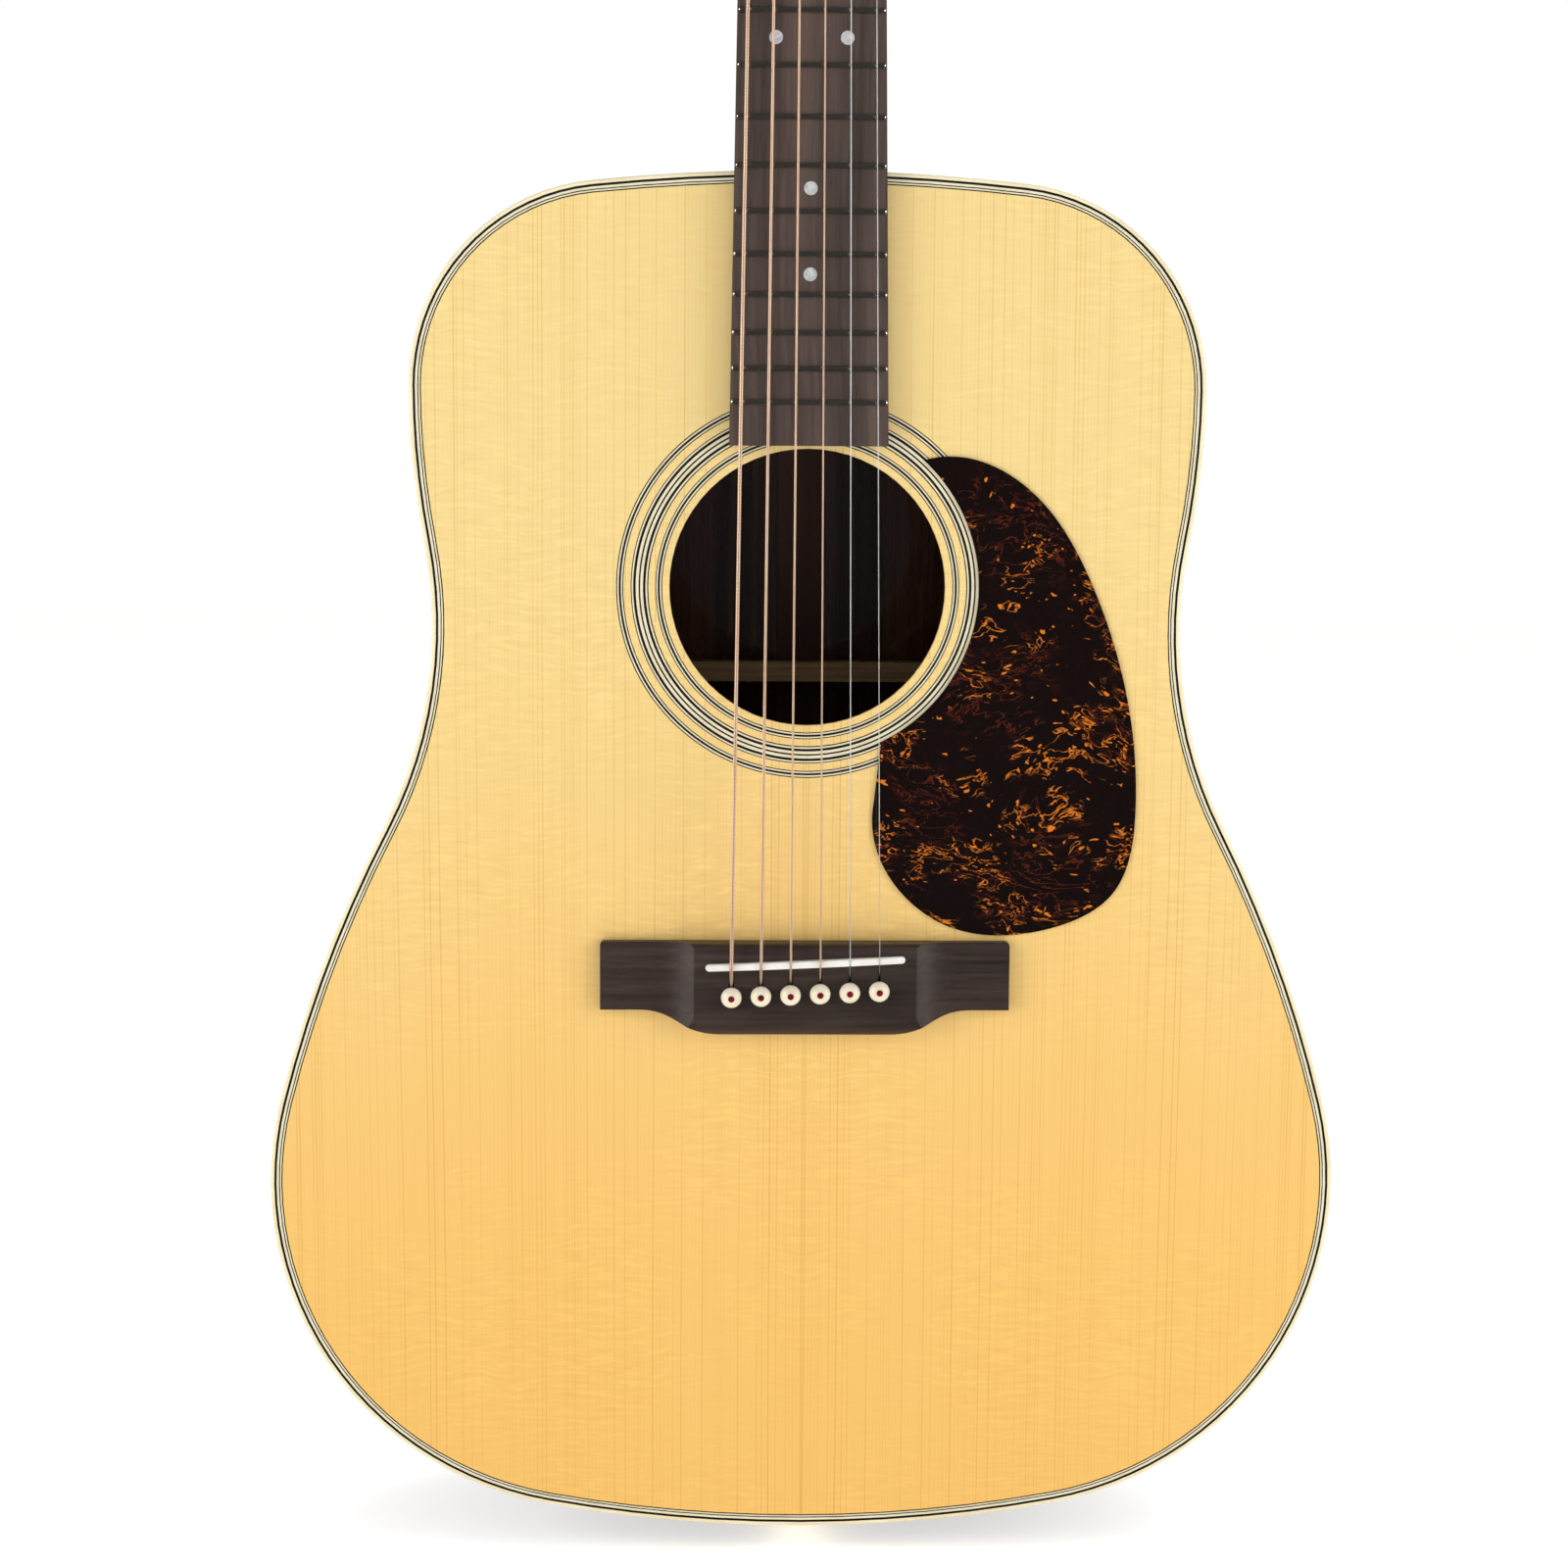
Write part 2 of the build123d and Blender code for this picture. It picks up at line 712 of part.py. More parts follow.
with BuildPart() as pickguard:
    with BuildSketch(Plane(origin=(0, top_y, hole_z), x_dir=(1, 0, 0), z_dir=(0, -1, 0))):
        with BuildLine():
            heel = (27.6, -math.sqrt(guard_radius ** 2 - 27.6 ** 2))
            tip = (42.4, math.sqrt(guard_radius ** 2 - 42.4 ** 2))
            ThreePointArc(heel, (guard_radius, 0), tip)
            rim = Spline(
                tip,
                (60.5, 47.3),
                (80.7, 36.8),
                (104.9, 1.8),
                (118.9, -41.1),
                (122.7, -80.0),
                (114.5, -113.5),
                (89.7, -126.9),
                (50.6, -124.5),
                (28.3, -102.0),
                (25.2, -79.0),
            )
            Line(rim @ 1, heel)
        make_face()
    extrude(amount=guard_thick)
pickguard.part.label = "pickguard"
export_step(pickguard.part, "parts/pickguard.step")

# --- bridge and saddle ---------------------------------------------------------------------
with BuildPart() as bridge:
    with BuildSketch(behind(0)):
        with BuildLine():
            tail = Line((-31.5, belly_bottom_z), (31.5, belly_bottom_z))
            sweep_up = Spline(tail @ 1, (61.5, wing_bottom_z), tangents=((1, 0), (1, 0)))
            wing_foot = Line(sweep_up @ 1, (bridge_half_length, wing_bottom_z))
            wing_end = Line(wing_foot @ 1, (bridge_half_length, bridge_top_z))
            head = Line(wing_end @ 1, (-bridge_half_length, bridge_top_z))
            far_end = Line(head @ 1, (-bridge_half_length, wing_bottom_z))
            far_foot = Line(far_end @ 1, (-61.5, wing_bottom_z))
            Spline(far_foot @ 1, tail @ 0, tangents=((1, 0), (1, 0)))
        make_face()
        fillet(vertices().group_by(Axis.Y)[-1], radius=1.5)
    extrude(amount=bridge_height)
    # wings scooped down either side of the raised middle
    with BuildSketch(Plane.XY.offset(belly_bottom_z - 1)):
        with BuildLine():
            flat = Line((56.0, top_y - wing_height), (80.0, top_y - wing_height))
            up = Line(flat @ 1, (80.0, top_y - bridge_height - 1))
            across = Line(up @ 1, (41.2, top_y - bridge_height - 1))
            down = Line(across @ 1, (41.2, top_y - bridge_height))
            ThreePointArc(down @ 1, (48.2, top_y - 5.12), flat @ 0)
        make_face()
        mirror(about=Plane.YZ)
    extrude(amount=40, mode=Mode.SUBTRACT)
    # the belly rolls down behind the pins and the front edge is eased
    with BuildSketch(Plane.YZ.offset(-80)):
        with BuildLine():
            rim = Line((top_y - bridge_height - 1, belly_bottom_z - 1), (top_y - 4.2, belly_bottom_z - 1))
            lip = Line(rim @ 1, (top_y - 4.2, belly_bottom_z))
            roll = ThreePointArc(
                lip @ 1,
                (top_y - 7.4, belly_bottom_z + 3.4),
                (top_y - bridge_height, belly_bottom_z + 11.0),
            )
            rise = Line(roll @ 1, (top_y - bridge_height - 1, belly_bottom_z + 11.0))
            Line(rise @ 1, rim @ 0)
        make_face()
        with BuildLine():
            edge = Line((top_y - bridge_height - 1, bridge_top_z + 1), (top_y - 6.6, bridge_top_z + 1))
            front = Line(edge @ 1, (top_y - 6.6, bridge_top_z))
            ease = ThreePointArc(
                front @ 1,
                (top_y - 8.3, bridge_top_z - 0.7),
                (top_y - bridge_height, bridge_top_z - 2.6),
            )
            back_up = Line(ease @ 1, (top_y - bridge_height - 1, bridge_top_z - 2.6))
            Line(back_up @ 1, edge @ 0)
        make_face()
    extrude(amount=160, mode=Mode.SUBTRACT)
    # slanted slot for the saddle
    with BuildSketch(behind(-bridge_height)):
        with Locations(Location((0, saddle_z, 0), (0, 0, saddle_slant))):
            SlotOverall(saddle_length, saddle_thick)
    extrude(amount=-6, mode=Mode.SUBTRACT)
    cut_pin_bores()
    # ramps that lead the strings out of the pin holes
    for number in range(1, 7):
        x = string_x(number, spacing_at_saddle)
        with BuildSketch(Plane.YZ.offset(x)):
            with BuildLine():
                Polyline(
                    (top_y - 3.2, pin_z(x)),
                    (top_y - bridge_height - 0.1, pin_z(x) + 7.8),
                    (top_y - bridge_height - 0.1, pin_z(x)),
                    close=True,
                )
            make_face()
        extrude(amount=string_gauge[number - 1] / 2 + 0.35, both=True, mode=Mode.SUBTRACT)
bridge.part.label = "bridge"
export_step(bridge.part, "parts/bridge.step")

with BuildPart() as saddle:
    with BuildSketch(behind(6 - bridge_height)):
        with Locations(Location((0, saddle_z, 0), (0, 0, saddle_slant))):
            SlotOverall(saddle_length, saddle_thick)
    extrude(amount=12)
    with Locations((0, top_y - height_at_saddle + board_radius, saddle_z)):
        Cylinder(board_radius, 40, mode=Mode.INTERSECT)
    fillet(saddle.faces().sort_by(Axis.Y)[0].edges(), radius=0.7)
saddle.part.label = "saddle"
export_step(saddle.part, "parts/saddle.step")

# --- bridge pins: each tapered, with a slot for its string facing the saddle ------------------
for number in range(1, 7):
    x = string_x(number, spacing_at_saddle)
    gauge = string_gauge[number - 1]
    seat = top_y - bridge_height
    with BuildPart() as bridge_pin:
        with BuildSketch(Plane(origin=(x, 0, pin_z(x)), x_dir=(1, 0, 0), z_dir=(0, 0, 1))):
            with BuildLine():
                end = Line((0, seat + pin_shank), (pin_tip_radius, seat + pin_shank))
                shank = Line(end @ 1, (pin_top_radius, seat))
                brim = Line(shank @ 1, (pin_head_radius - 0.5, seat))
                flare = Line(brim @ 1, (pin_head_radius, seat - 0.9))
                dome = ThreePointArc(flare @ 1, (2.8, seat - 3.0), (0.5, seat - 3.9))
                crown = Line(dome @ 1, (0, seat - 3.9))
                Line(crown @ 1, end @ 0)
            make_face()
        revolve(axis=Axis((x, 0, pin_z(x)), (0, 1, 0)))
        slot_floor = pin_tip_radius - gauge - 0.35
        with BuildSketch(Plane.XZ.offset(-seat)):
            with Locations((x, pin_z(x) + slot_floor + 5)):
                Rectangle(gauge + 0.7, 10)
        extrude(amount=-(pin_shank + 1), mode=Mode.SUBTRACT)
    bridge_pin.part.label = f"bridge_pin_{number}"
    export_step(bridge_pin.part, f"parts/bridge_pin_{number}.step")

# --- fingerboard, inlays and frets -------------------------------------------------------------
board_axis_y = top_y - board_thick + board_radius


def board_face(inset):
    with BuildSketch() as shape:
        with BuildLine():
            near = board_half_width(nut_z) - inset
            far = board_half_width(board_end_z) - inset
            Polyline((-near, nut_z), (near, nut_z), (far, board_end_z), (-far, board_end_z), close=True)
        make_face()
    return shape.sketch


def between(number):
    return (fret_z(number) + fret_z(number - 1)) / 2


marked_frets = (3, 5, 7, 9, 12, 15, 17)
dot_spots = [(0, between(number)) for number in marked_frets if number != 12]
dot_spots += [(-12.8, between(12)), (12.8, between(12))]

with BuildPart() as position_dots:
    with BuildSketch(behind(-4)):
        with Locations(dot_spots):
            Circle(dot_radius)
    extrude(amount=5)
    with Locations((0, board_axis_y, nut_z - 230)):
        Cylinder(board_radius, 500, mode=Mode.INTERSECT)
    for number in marked_frets:
        with BuildSketch(Plane.YZ.offset(-board_half_width(between(number)))):
            with Locations((top_y - 3.2, between(number))):
                Circle(1.0)
        extrude(amount=2.5)
position_dots.part.label = "position_dots"
export_step(position_dots.part, "parts/position_dots.step")

with BuildPart() as frets:
    crown_y = top_y - board_thick
    for number in range(1, fret_count + 1):
        z = fret_z(number)
        with BuildSketch(Plane.YZ):
            with BuildLine():
                bead = ThreePointArc(
                    (crown_y, z - fret_crown_width / 2),
                    (crown_y - fret_crown_height, z),
                    (crown_y, z + fret_crown_width / 2),
                )
                Line(bead @ 1, bead @ 0)
            make_face()
            with Locations((crown_y + fret_tang_depth / 2 - 0.01, z)):
                Rectangle(fret_tang_depth, fret_tang_width)
        revolve(axis=Axis((0, board_axis_y, 0), (0, 0, 1)), revolution_arc=5)
    mirror(about=Plane.YZ)
    # both ends stop short of the board's edges
    with BuildSketch(behind(4 - board_thick)):
        add(board_face(fret_end_inset))
    extrude(amount=7, mode=Mode.INTERSECT)
frets.part.label = "frets"
export_step(frets.part, "parts/frets.step")

with BuildPart() as fingerboard:
    with BuildSketch(behind(0)):
        add(board_face(0))
    extrude(amount=board_thick)
    with Locations((0, board_axis_y, nut_z - 230)):
        Cylinder(board_radius, 500, mode=Mode.INTERSECT)
    add(position_dots.part, mode=Mode.SUBTRACT)
    add(frets.part, mode=Mode.SUBTRACT)
fingerboard.part.label = "fingerboard"
export_step(fingerboard.part, "parts/fingerboard.step")

# --- strings and nut -------------------------------------------------------------------------------
for number in range(1, 7):
    with BuildPart() as string:
        sweep(sections=string_section(number, 0), path=string_path(number))
        with Locations(string_path(number) @ 0):
            Sphere(1.9)
    string.part.label = f"string_{number}"
    export_step(string.part, f"parts/string_{number}.step")

with BuildPart() as nut:
    with BuildSketch(behind(0)):
        with Locations((0, nut_z + nut_thick / 2)):
            Rectangle(2 * nut_half_width - 0.2, nut_thick)
    extrude(amount=nut_height)
    with Locations((0, top_y - nut_height + board_radius, nut_z)):
        Cylinder(board_radius, 40, mode=Mode.INTERSECT)
    fillet(nut.faces().sort_by(Axis.Y)[0].edges().sort_by(Axis.Z)[-1], radius=2.5)
    for number in range(1, 7):
        sweep(sections=string_section(number, 0.04), path=string_path(number), mode=Mode.SUBTRACT)
nut.part.label = "nut"
export_step(nut.part, "parts/nut.step")

# --- headstock veneer -----------------------------------------------------------------------------
with BuildPart() as head_veneer:
    with BuildSketch(head_plane(0)):
        add(head_outline())
        with Locations(*[(post_x(number), post_station(number)) for number in range(1, 7)]):
            Circle(post_bore, mode=Mode.SUBTRACT)
    extrude(amount=-veneer_thick)
head_veneer.part.label = "head_veneer"
export_step(head_veneer.part, "parts/head_veneer.step")

with BuildPart() as tuner_bushings:
    for number in range(1, 7):
        with BuildSketch(head_plane(0)):
            with Locations((post_x(number), post_station(number))):
                Circle(5.8)
                Circle(post_radius + 0.05, mode=Mode.SUBTRACT)
        extrude(amount=1.3)
        with BuildSketch(head_plane(0)):
            with Locations((post_x(number), post_station(number))):
                Circle(post_bore)
                Circle(post_radius + 0.05, mode=Mode.SUBTRACT)
        extrude(amount=-9)
tuner_bushings.part.label = "tuner_bushings"
export_step(tuner_bushings.part, "parts/tuner_bushings.step")

# --- tuning machine plates with two ears for the key, and their wood screws -------------------------
ear_x = 5.6
ear_thick = 1.2

with BuildPart() as tuner_plates:
    for number in range(1, 7):
        turn = worm_side(number)
        base = machine_plane(number)
        with BuildSketch(base):
            with Locations((0.1, turn * 3.7)):
                RectangleRounded(20.2, 18.6, 2.5)
            Circle(post_radius + 0.06, mode=Mode.SUBTRACT)
            with Locations(*[(a, b * turn) for a, b in machine_screws]):
                Circle(1.15, mode=Mode.SUBTRACT)
        extrude(amount=machine_plate_thick)
        for ear in (-ear_x, ear_x):
            foot = base.from_local_coords(Vector(ear, turn * worm_offset, key_axis_height))
            with BuildSketch(Plane(origin=foot, x_dir=base.y_dir, z_dir=base.x_dir)):
                Circle(3.2)
                with Locations((0, -key_axis_height / 2)):
                    Rectangle(6.4, key_axis_height - 0.6)
                Circle(shaft_radius + 0.06, mode=Mode.SUBTRACT)
            extrude(amount=ear_thick / 2, both=True)
tuner_plates.part.label = "tuner_plates"
export_step(tuner_plates.part, "parts/tuner_plates.step")

with BuildPart() as tuner_screws:
    for number in range(1, 7):
        for spot in screw_points(number):
            seat = Plane(origin=spot, x_dir=(1, 0, 0), z_dir=machine_plane(number).z_dir)
            with BuildSketch(seat):
                Circle(1.05)
            extrude(amount=-8)
            with BuildSketch(seat):
                Circle(1.05)
            extrude(amount=machine_plate_thick)
            with BuildSketch(seat.offset(machine_plate_thick)):
                Circle(2.1)
            extrude(amount=1.1, taper=15)
            with BuildSketch(seat.offset(machine_plate_thick + 0.6)):
                Rectangle(5, 0.6)
            extrude(amount=1, mode=Mode.SUBTRACT)
tuner_screws.part.label = "tuner_screws"
export_step(tuner_screws.part, "parts/tuner_screws.step")

# the worm's thread along +Z, three and a half turns, its crest at +X halfway along
with BuildPart() as worm_thread:
    with BuildLine():
        spiral = Helix(
            pitch=worm_pitch,
            height=3.5 * worm_pitch,
            radius=worm_root_radius - 0.15,
            center=(0, 0, -1.75 * worm_pitch),
        )
    with BuildSketch(Plane(origin=spiral @ 0, x_dir=(1, 0, 0), z_dir=spiral % 0)):
        with BuildLine():
            rise = worm_tip_radius - worm_root_radius + 0.15
            Polyline((0, -0.55), (rise, -0.3), (rise, 0.3), (0, 0.55), close=True)
        make_face()
    sweep(path=spiral, is_frenet=True)

# --- open-gear tuning machines, drawn flat and then set on the headstock's back ---------------------
for number in range(1, 7):
    turn = worm_side(number)
    worm_y = worm_offset * turn

    with BuildPart() as post:
        with Locations((0, 0, -(head_thick + veneer_thick + post_above_face))):
            Cylinder(
                post_radius,
                head_thick + veneer_thick + post_above_face + key_axis_height,
                align=(Align.CENTER, Align.CENTER, Align.MIN),
            )
        with Locations((0, 0, machine_plate_thick + 0.3)):
            Cylinder(4.2, key_axis_height - machine_plate_thick - 0.3, align=(Align.CENTER, Align.CENTER, Align.MIN))
        with Locations((0, 0, key_axis_height)):
            Cylinder(gear_tip_radius, gear_thick)
        # one slanted gap per tooth, the first one facing the worm
        lead_angle = math.degrees(math.atan(worm_pitch / (2 * math.pi * worm_pitch_radius)))
        for tooth in range(gear_teeth):
            angle = 90 * turn + tooth * 360 / gear_teeth
            with Locations(Location((0, 0, key_axis_height), (0, 0, angle))):
                with Locations(Location((gear_gap_floor + 2, 0, 0), (-lead_angle, 0, 0))):
                    Box(4, gear_gap, gear_thick + 3, mode=Mode.SUBTRACT)
        # string hole across the post and a waist around it
        with Locations(Location((0, 0, -(head_thick + veneer_thick + 6.5)), (0, 90, 0))):
            Cylinder(0.9, 10, mode=Mode.SUBTRACT)
        with Locations((0, 0, key_axis_height + gear_thick / 2)):
            Cylinder(2.6, 1.4, align=(Align.CENTER, Align.CENTER, Align.MIN))
        with Locations((0, 0, key_axis_height + gear_thick / 2 + 1.4)):
            Box(6, 0.8, 1.2, mode=Mode.SUBTRACT)
    placed_post = post.part.moved(machine_plane(number).location)
    placed_post.label = f"tuner_{number}_post"
    export_step(placed_post, f"parts/tuner_{number}_post.step")

    worm_frame = Plane(origin=(0, worm_y, key_axis_height), x_dir=(0, -turn, 0), z_dir=(1, 0, 0))
    thread = worm_thread.part.rotate(Axis.Z, 90).moved(worm_frame.location)

    with BuildPart() as key:
        # oval button, gripped at its sides
        with BuildSketch(Plane.XY.offset(key_axis_height - 3.2)):
            with Locations((edge_to_post + 11.5, worm_y)):
                Ellipse(8.0, 9.5)
        extrude(amount=6.4)
        fillet(key.edges().filter_by(GeomType.ELLIPSE), radius=2.2)
        with Locations(Location((-7, worm_y, key_axis_height), (0, 90, 0))):
            Cylinder(shaft_radius, edge_to_post + 4 + 7, align=(Align.CENTER, Align.CENTER, Align.MIN))
        with Locations(Location((0, worm_y, key_axis_height), (0, 90, 0))):
            Cylinder(worm_root_radius, 9.4)
        with Locations(Location((edge_to_post + 2.2, worm_y, key_axis_height), (0, 90, 0))):
            Cylinder(2.8, 2.4)
        add(thread)
    placed_key = key.part.moved(machine_plane(number).location)
    placed_key.label = f"tuner_{number}_key"
    export_step(placed_key, f"parts/tuner_{number}_key.step")
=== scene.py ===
import json
import math

import bmesh
import bpy
from mathutils import Matrix, Vector


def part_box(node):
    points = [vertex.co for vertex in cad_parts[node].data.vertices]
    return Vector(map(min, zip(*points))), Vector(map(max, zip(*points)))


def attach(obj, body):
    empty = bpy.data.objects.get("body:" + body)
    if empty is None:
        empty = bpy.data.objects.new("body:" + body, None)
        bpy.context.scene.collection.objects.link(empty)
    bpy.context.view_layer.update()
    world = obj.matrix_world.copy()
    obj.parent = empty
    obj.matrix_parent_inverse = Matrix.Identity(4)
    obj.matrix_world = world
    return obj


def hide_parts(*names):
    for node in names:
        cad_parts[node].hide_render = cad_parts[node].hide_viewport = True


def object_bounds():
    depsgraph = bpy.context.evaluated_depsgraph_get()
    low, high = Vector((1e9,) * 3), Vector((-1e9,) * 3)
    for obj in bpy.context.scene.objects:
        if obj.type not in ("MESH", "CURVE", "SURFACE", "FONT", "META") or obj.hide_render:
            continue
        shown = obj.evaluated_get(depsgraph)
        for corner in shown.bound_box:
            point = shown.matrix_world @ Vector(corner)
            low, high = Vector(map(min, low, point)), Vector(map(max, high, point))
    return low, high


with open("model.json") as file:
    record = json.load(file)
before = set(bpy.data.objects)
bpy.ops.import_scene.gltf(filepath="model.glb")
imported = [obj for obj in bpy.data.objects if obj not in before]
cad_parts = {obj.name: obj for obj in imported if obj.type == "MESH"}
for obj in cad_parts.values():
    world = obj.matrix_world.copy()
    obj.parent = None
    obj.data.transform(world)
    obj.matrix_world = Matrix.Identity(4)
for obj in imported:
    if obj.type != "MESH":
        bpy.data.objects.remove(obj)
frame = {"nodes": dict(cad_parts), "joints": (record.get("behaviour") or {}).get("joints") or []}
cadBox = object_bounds()
nodes = frame["nodes"]
print("frame loaded")

# camera in front of the body, a little above its middle, looking slightly down
cameraSet = {
    "place": (-0.02938, -1.00699, 0.40033),
    "turn": -0.0223,  # radians to the side
    "dip": 0.1086,  # radians down
    "roll": 0.0063,
    "lens": 59.27,
}


def makeCamera(values):
    data = bpy.data.cameras.new("camera")
    data.lens = values["lens"]
    data.sensor_width = 36.0
    data.clip_start = 0.05
    data.clip_end = 60.0
    camera = bpy.data.objects.new("camera", data)
    bpy.context.scene.collection.objects.link(camera)
    facing = (
        Matrix.Rotation(values["turn"], 4, "Z")
        @ Matrix.Rotation(math.pi / 2 - values["dip"], 4, "X")
        @ Matrix.Rotation(values["roll"], 4, "Z")
    )
    camera.matrix_world = Matrix.Translation(values["place"]) @ facing
    bpy.context.scene.camera = camera


makeCamera(cameraSet)
print("camera placed")


class Surface:  # one Principled material and short calls for the nodes behind it
    def __init__(self, name):
        self.material = bpy.data.materials.new(name)
        self.material.use_nodes = True
        self.tree = self.material.node_tree
        self.tree.nodes.clear()
        self.shader = self.add("ShaderNodeBsdfPrincipled")
        output = self.add("ShaderNodeOutputMaterial")
        self.tree.links.new(self.shader.outputs["BSDF"], output.inputs["Surface"])
        self.place = self.add("ShaderNodeTexCoord").outputs["Object"]

    def add(self, kind, **settings):
        node = self.tree.nodes.new(kind)
        for key, value in settings.items():
            setattr(node, key, value)
        return node

    def feed(self, socket, value):
        if isinstance(value, bpy.types.NodeSocket):
            self.tree.links.new(value, socket)
        else:
            socket.default_value = value

    def math(self, operation, first, second=0.0, clamp=False):
        node = self.add("ShaderNodeMath", operation=operation, use_clamp=clamp)
        self.feed(node.inputs[0], first)
        self.feed(node.inputs[1], second)
        return node.outputs[0]

    def axes(self, vector):
        node = self.add("ShaderNodeSeparateXYZ")
        self.feed(node.inputs[0], vector)
        return node.outputs[0], node.outputs[1], node.outputs[2]

    def point(self, x, y, z):
        node = self.add("ShaderNodeCombineXYZ")
        for socket, value in zip(node.inputs, (x, y, z)):
            self.feed(socket, value)
        return node.outputs[0]

    def stretch(self, vector, scale, shift=(0.0, 0.0, 0.0), turn=(0.0, 0.0, 0.0)):
        node = self.add("ShaderNodeMapping")
        self.feed(node.inputs["Vector"], vector)
        node.inputs["Scale"].default_value = scale
        node.inputs["Location"].default_value = shift
        node.inputs["Rotation"].default_value = turn
        return node.outputs[0]

    def noise(self, vector, scale=1.0, detail=2.0, rough=0.5, swirl=0.0):
        node = self.add("ShaderNodeTexNoise")
        self.feed(node.inputs["Vector"], vector)
        node.inputs["Scale"].default_value = scale
        node.inputs["Detail"].default_value = detail
        node.inputs["Roughness"].default_value = rough
        node.inputs["Distortion"].default_value = swirl
        return node.outputs[0]

    def drift(self, vector, scale, amount, detail=2.0):  # moves a vector about by a noise
        node = self.add("ShaderNodeTexNoise")
        self.feed(node.inputs["Vector"], vector)
        node.inputs["Scale"].default_value = scale
        node.inputs["Detail"].default_value = detail
        centred = self.add("ShaderNodeVectorMath", operation="SUBTRACT")
        self.feed(centred.inputs[0], node.outputs[1])
        centred.inputs[1].default_value = (0.5, 0.5, 0.5)
        sized = self.add("ShaderNodeVectorMath", operation="SCALE")
        self.feed(sized.inputs[0], centred.outputs[0])
        sized.inputs["Scale"].default_value = amount
        moved = self.add("ShaderNodeVectorMath", operation="ADD")
        self.feed(moved.inputs[0], vector)
        self.feed(moved.inputs[1], sized.outputs[0])
        return moved.outputs[0]

    def scatter(self, value):  # one random number for each whole number
        node = self.add("ShaderNodeTexWhiteNoise", noise_dimensions="1D")
        self.feed(node.inputs["W"], value)
        return node.outputs[0]

    def span(self, value, low, high, bottom=0.0, top=1.0):
        node = self.add("ShaderNodeMapRange", interpolation_type="SMOOTHSTEP")
        self.feed(node.inputs["Value"], value)
        for key, number in (("From Min", low), ("From Max", high), ("To Min", bottom), ("To Max", top)):
            node.inputs[key].default_value = number
        return node.outputs[0]

    def ramp(self, value, stops):
        node = self.add("ShaderNodeValToRGB")
        self.feed(node.inputs[0], value)
        steps = node.color_ramp.elements
        while len(steps) < len(stops):
            steps.new(0.5)
        for step, (spot, colour) in zip(steps, stops):
            step.position = spot
            step.color = (*colour, 1.0)
        return node.outputs[0]

    def mix(self, amount, first, second, how="MIX"):
        node = self.add("ShaderNodeMix", data_type="RGBA", blend_type=how)
        self.feed(node.inputs[0], amount)
        for socket, value in ((node.inputs[6], first), (node.inputs[7], second)):
            self.feed(socket, (*value, 1.0) if isinstance(value, tuple) else value)
        return node.outputs[2]

    def bump(self, height, distance, strength=1.0):
        node = self.add("ShaderNodeBump")
        node.inputs["Strength"].default_value = strength
        node.inputs["Distance"].default_value = distance
        self.feed(node.inputs["Height"], height)
        return node.outputs[0]

    def finish(self, colour, rough, normal=None, **fixed):
        self.feed(self.shader.inputs["Base Color"], (*colour, 1.0) if isinstance(colour, tuple) else colour)
        self.feed(self.shader.inputs["Roughness"], rough)
        if normal is not None:
            self.feed(self.shader.inputs["Normal"], normal)
        for key, value in fixed.items():
            self.shader.inputs[key].default_value = value
        return self.material


spruceSet = {
    "ringWidth": 0.00125,
    "pale": (0.87, 0.66, 0.28),
    "golden": (0.90, 0.54, 0.14),
    "lateWood": (0.80, 0.64, 0.40),
    "silkSheen": (1.08, 1.08, 1.06),
}


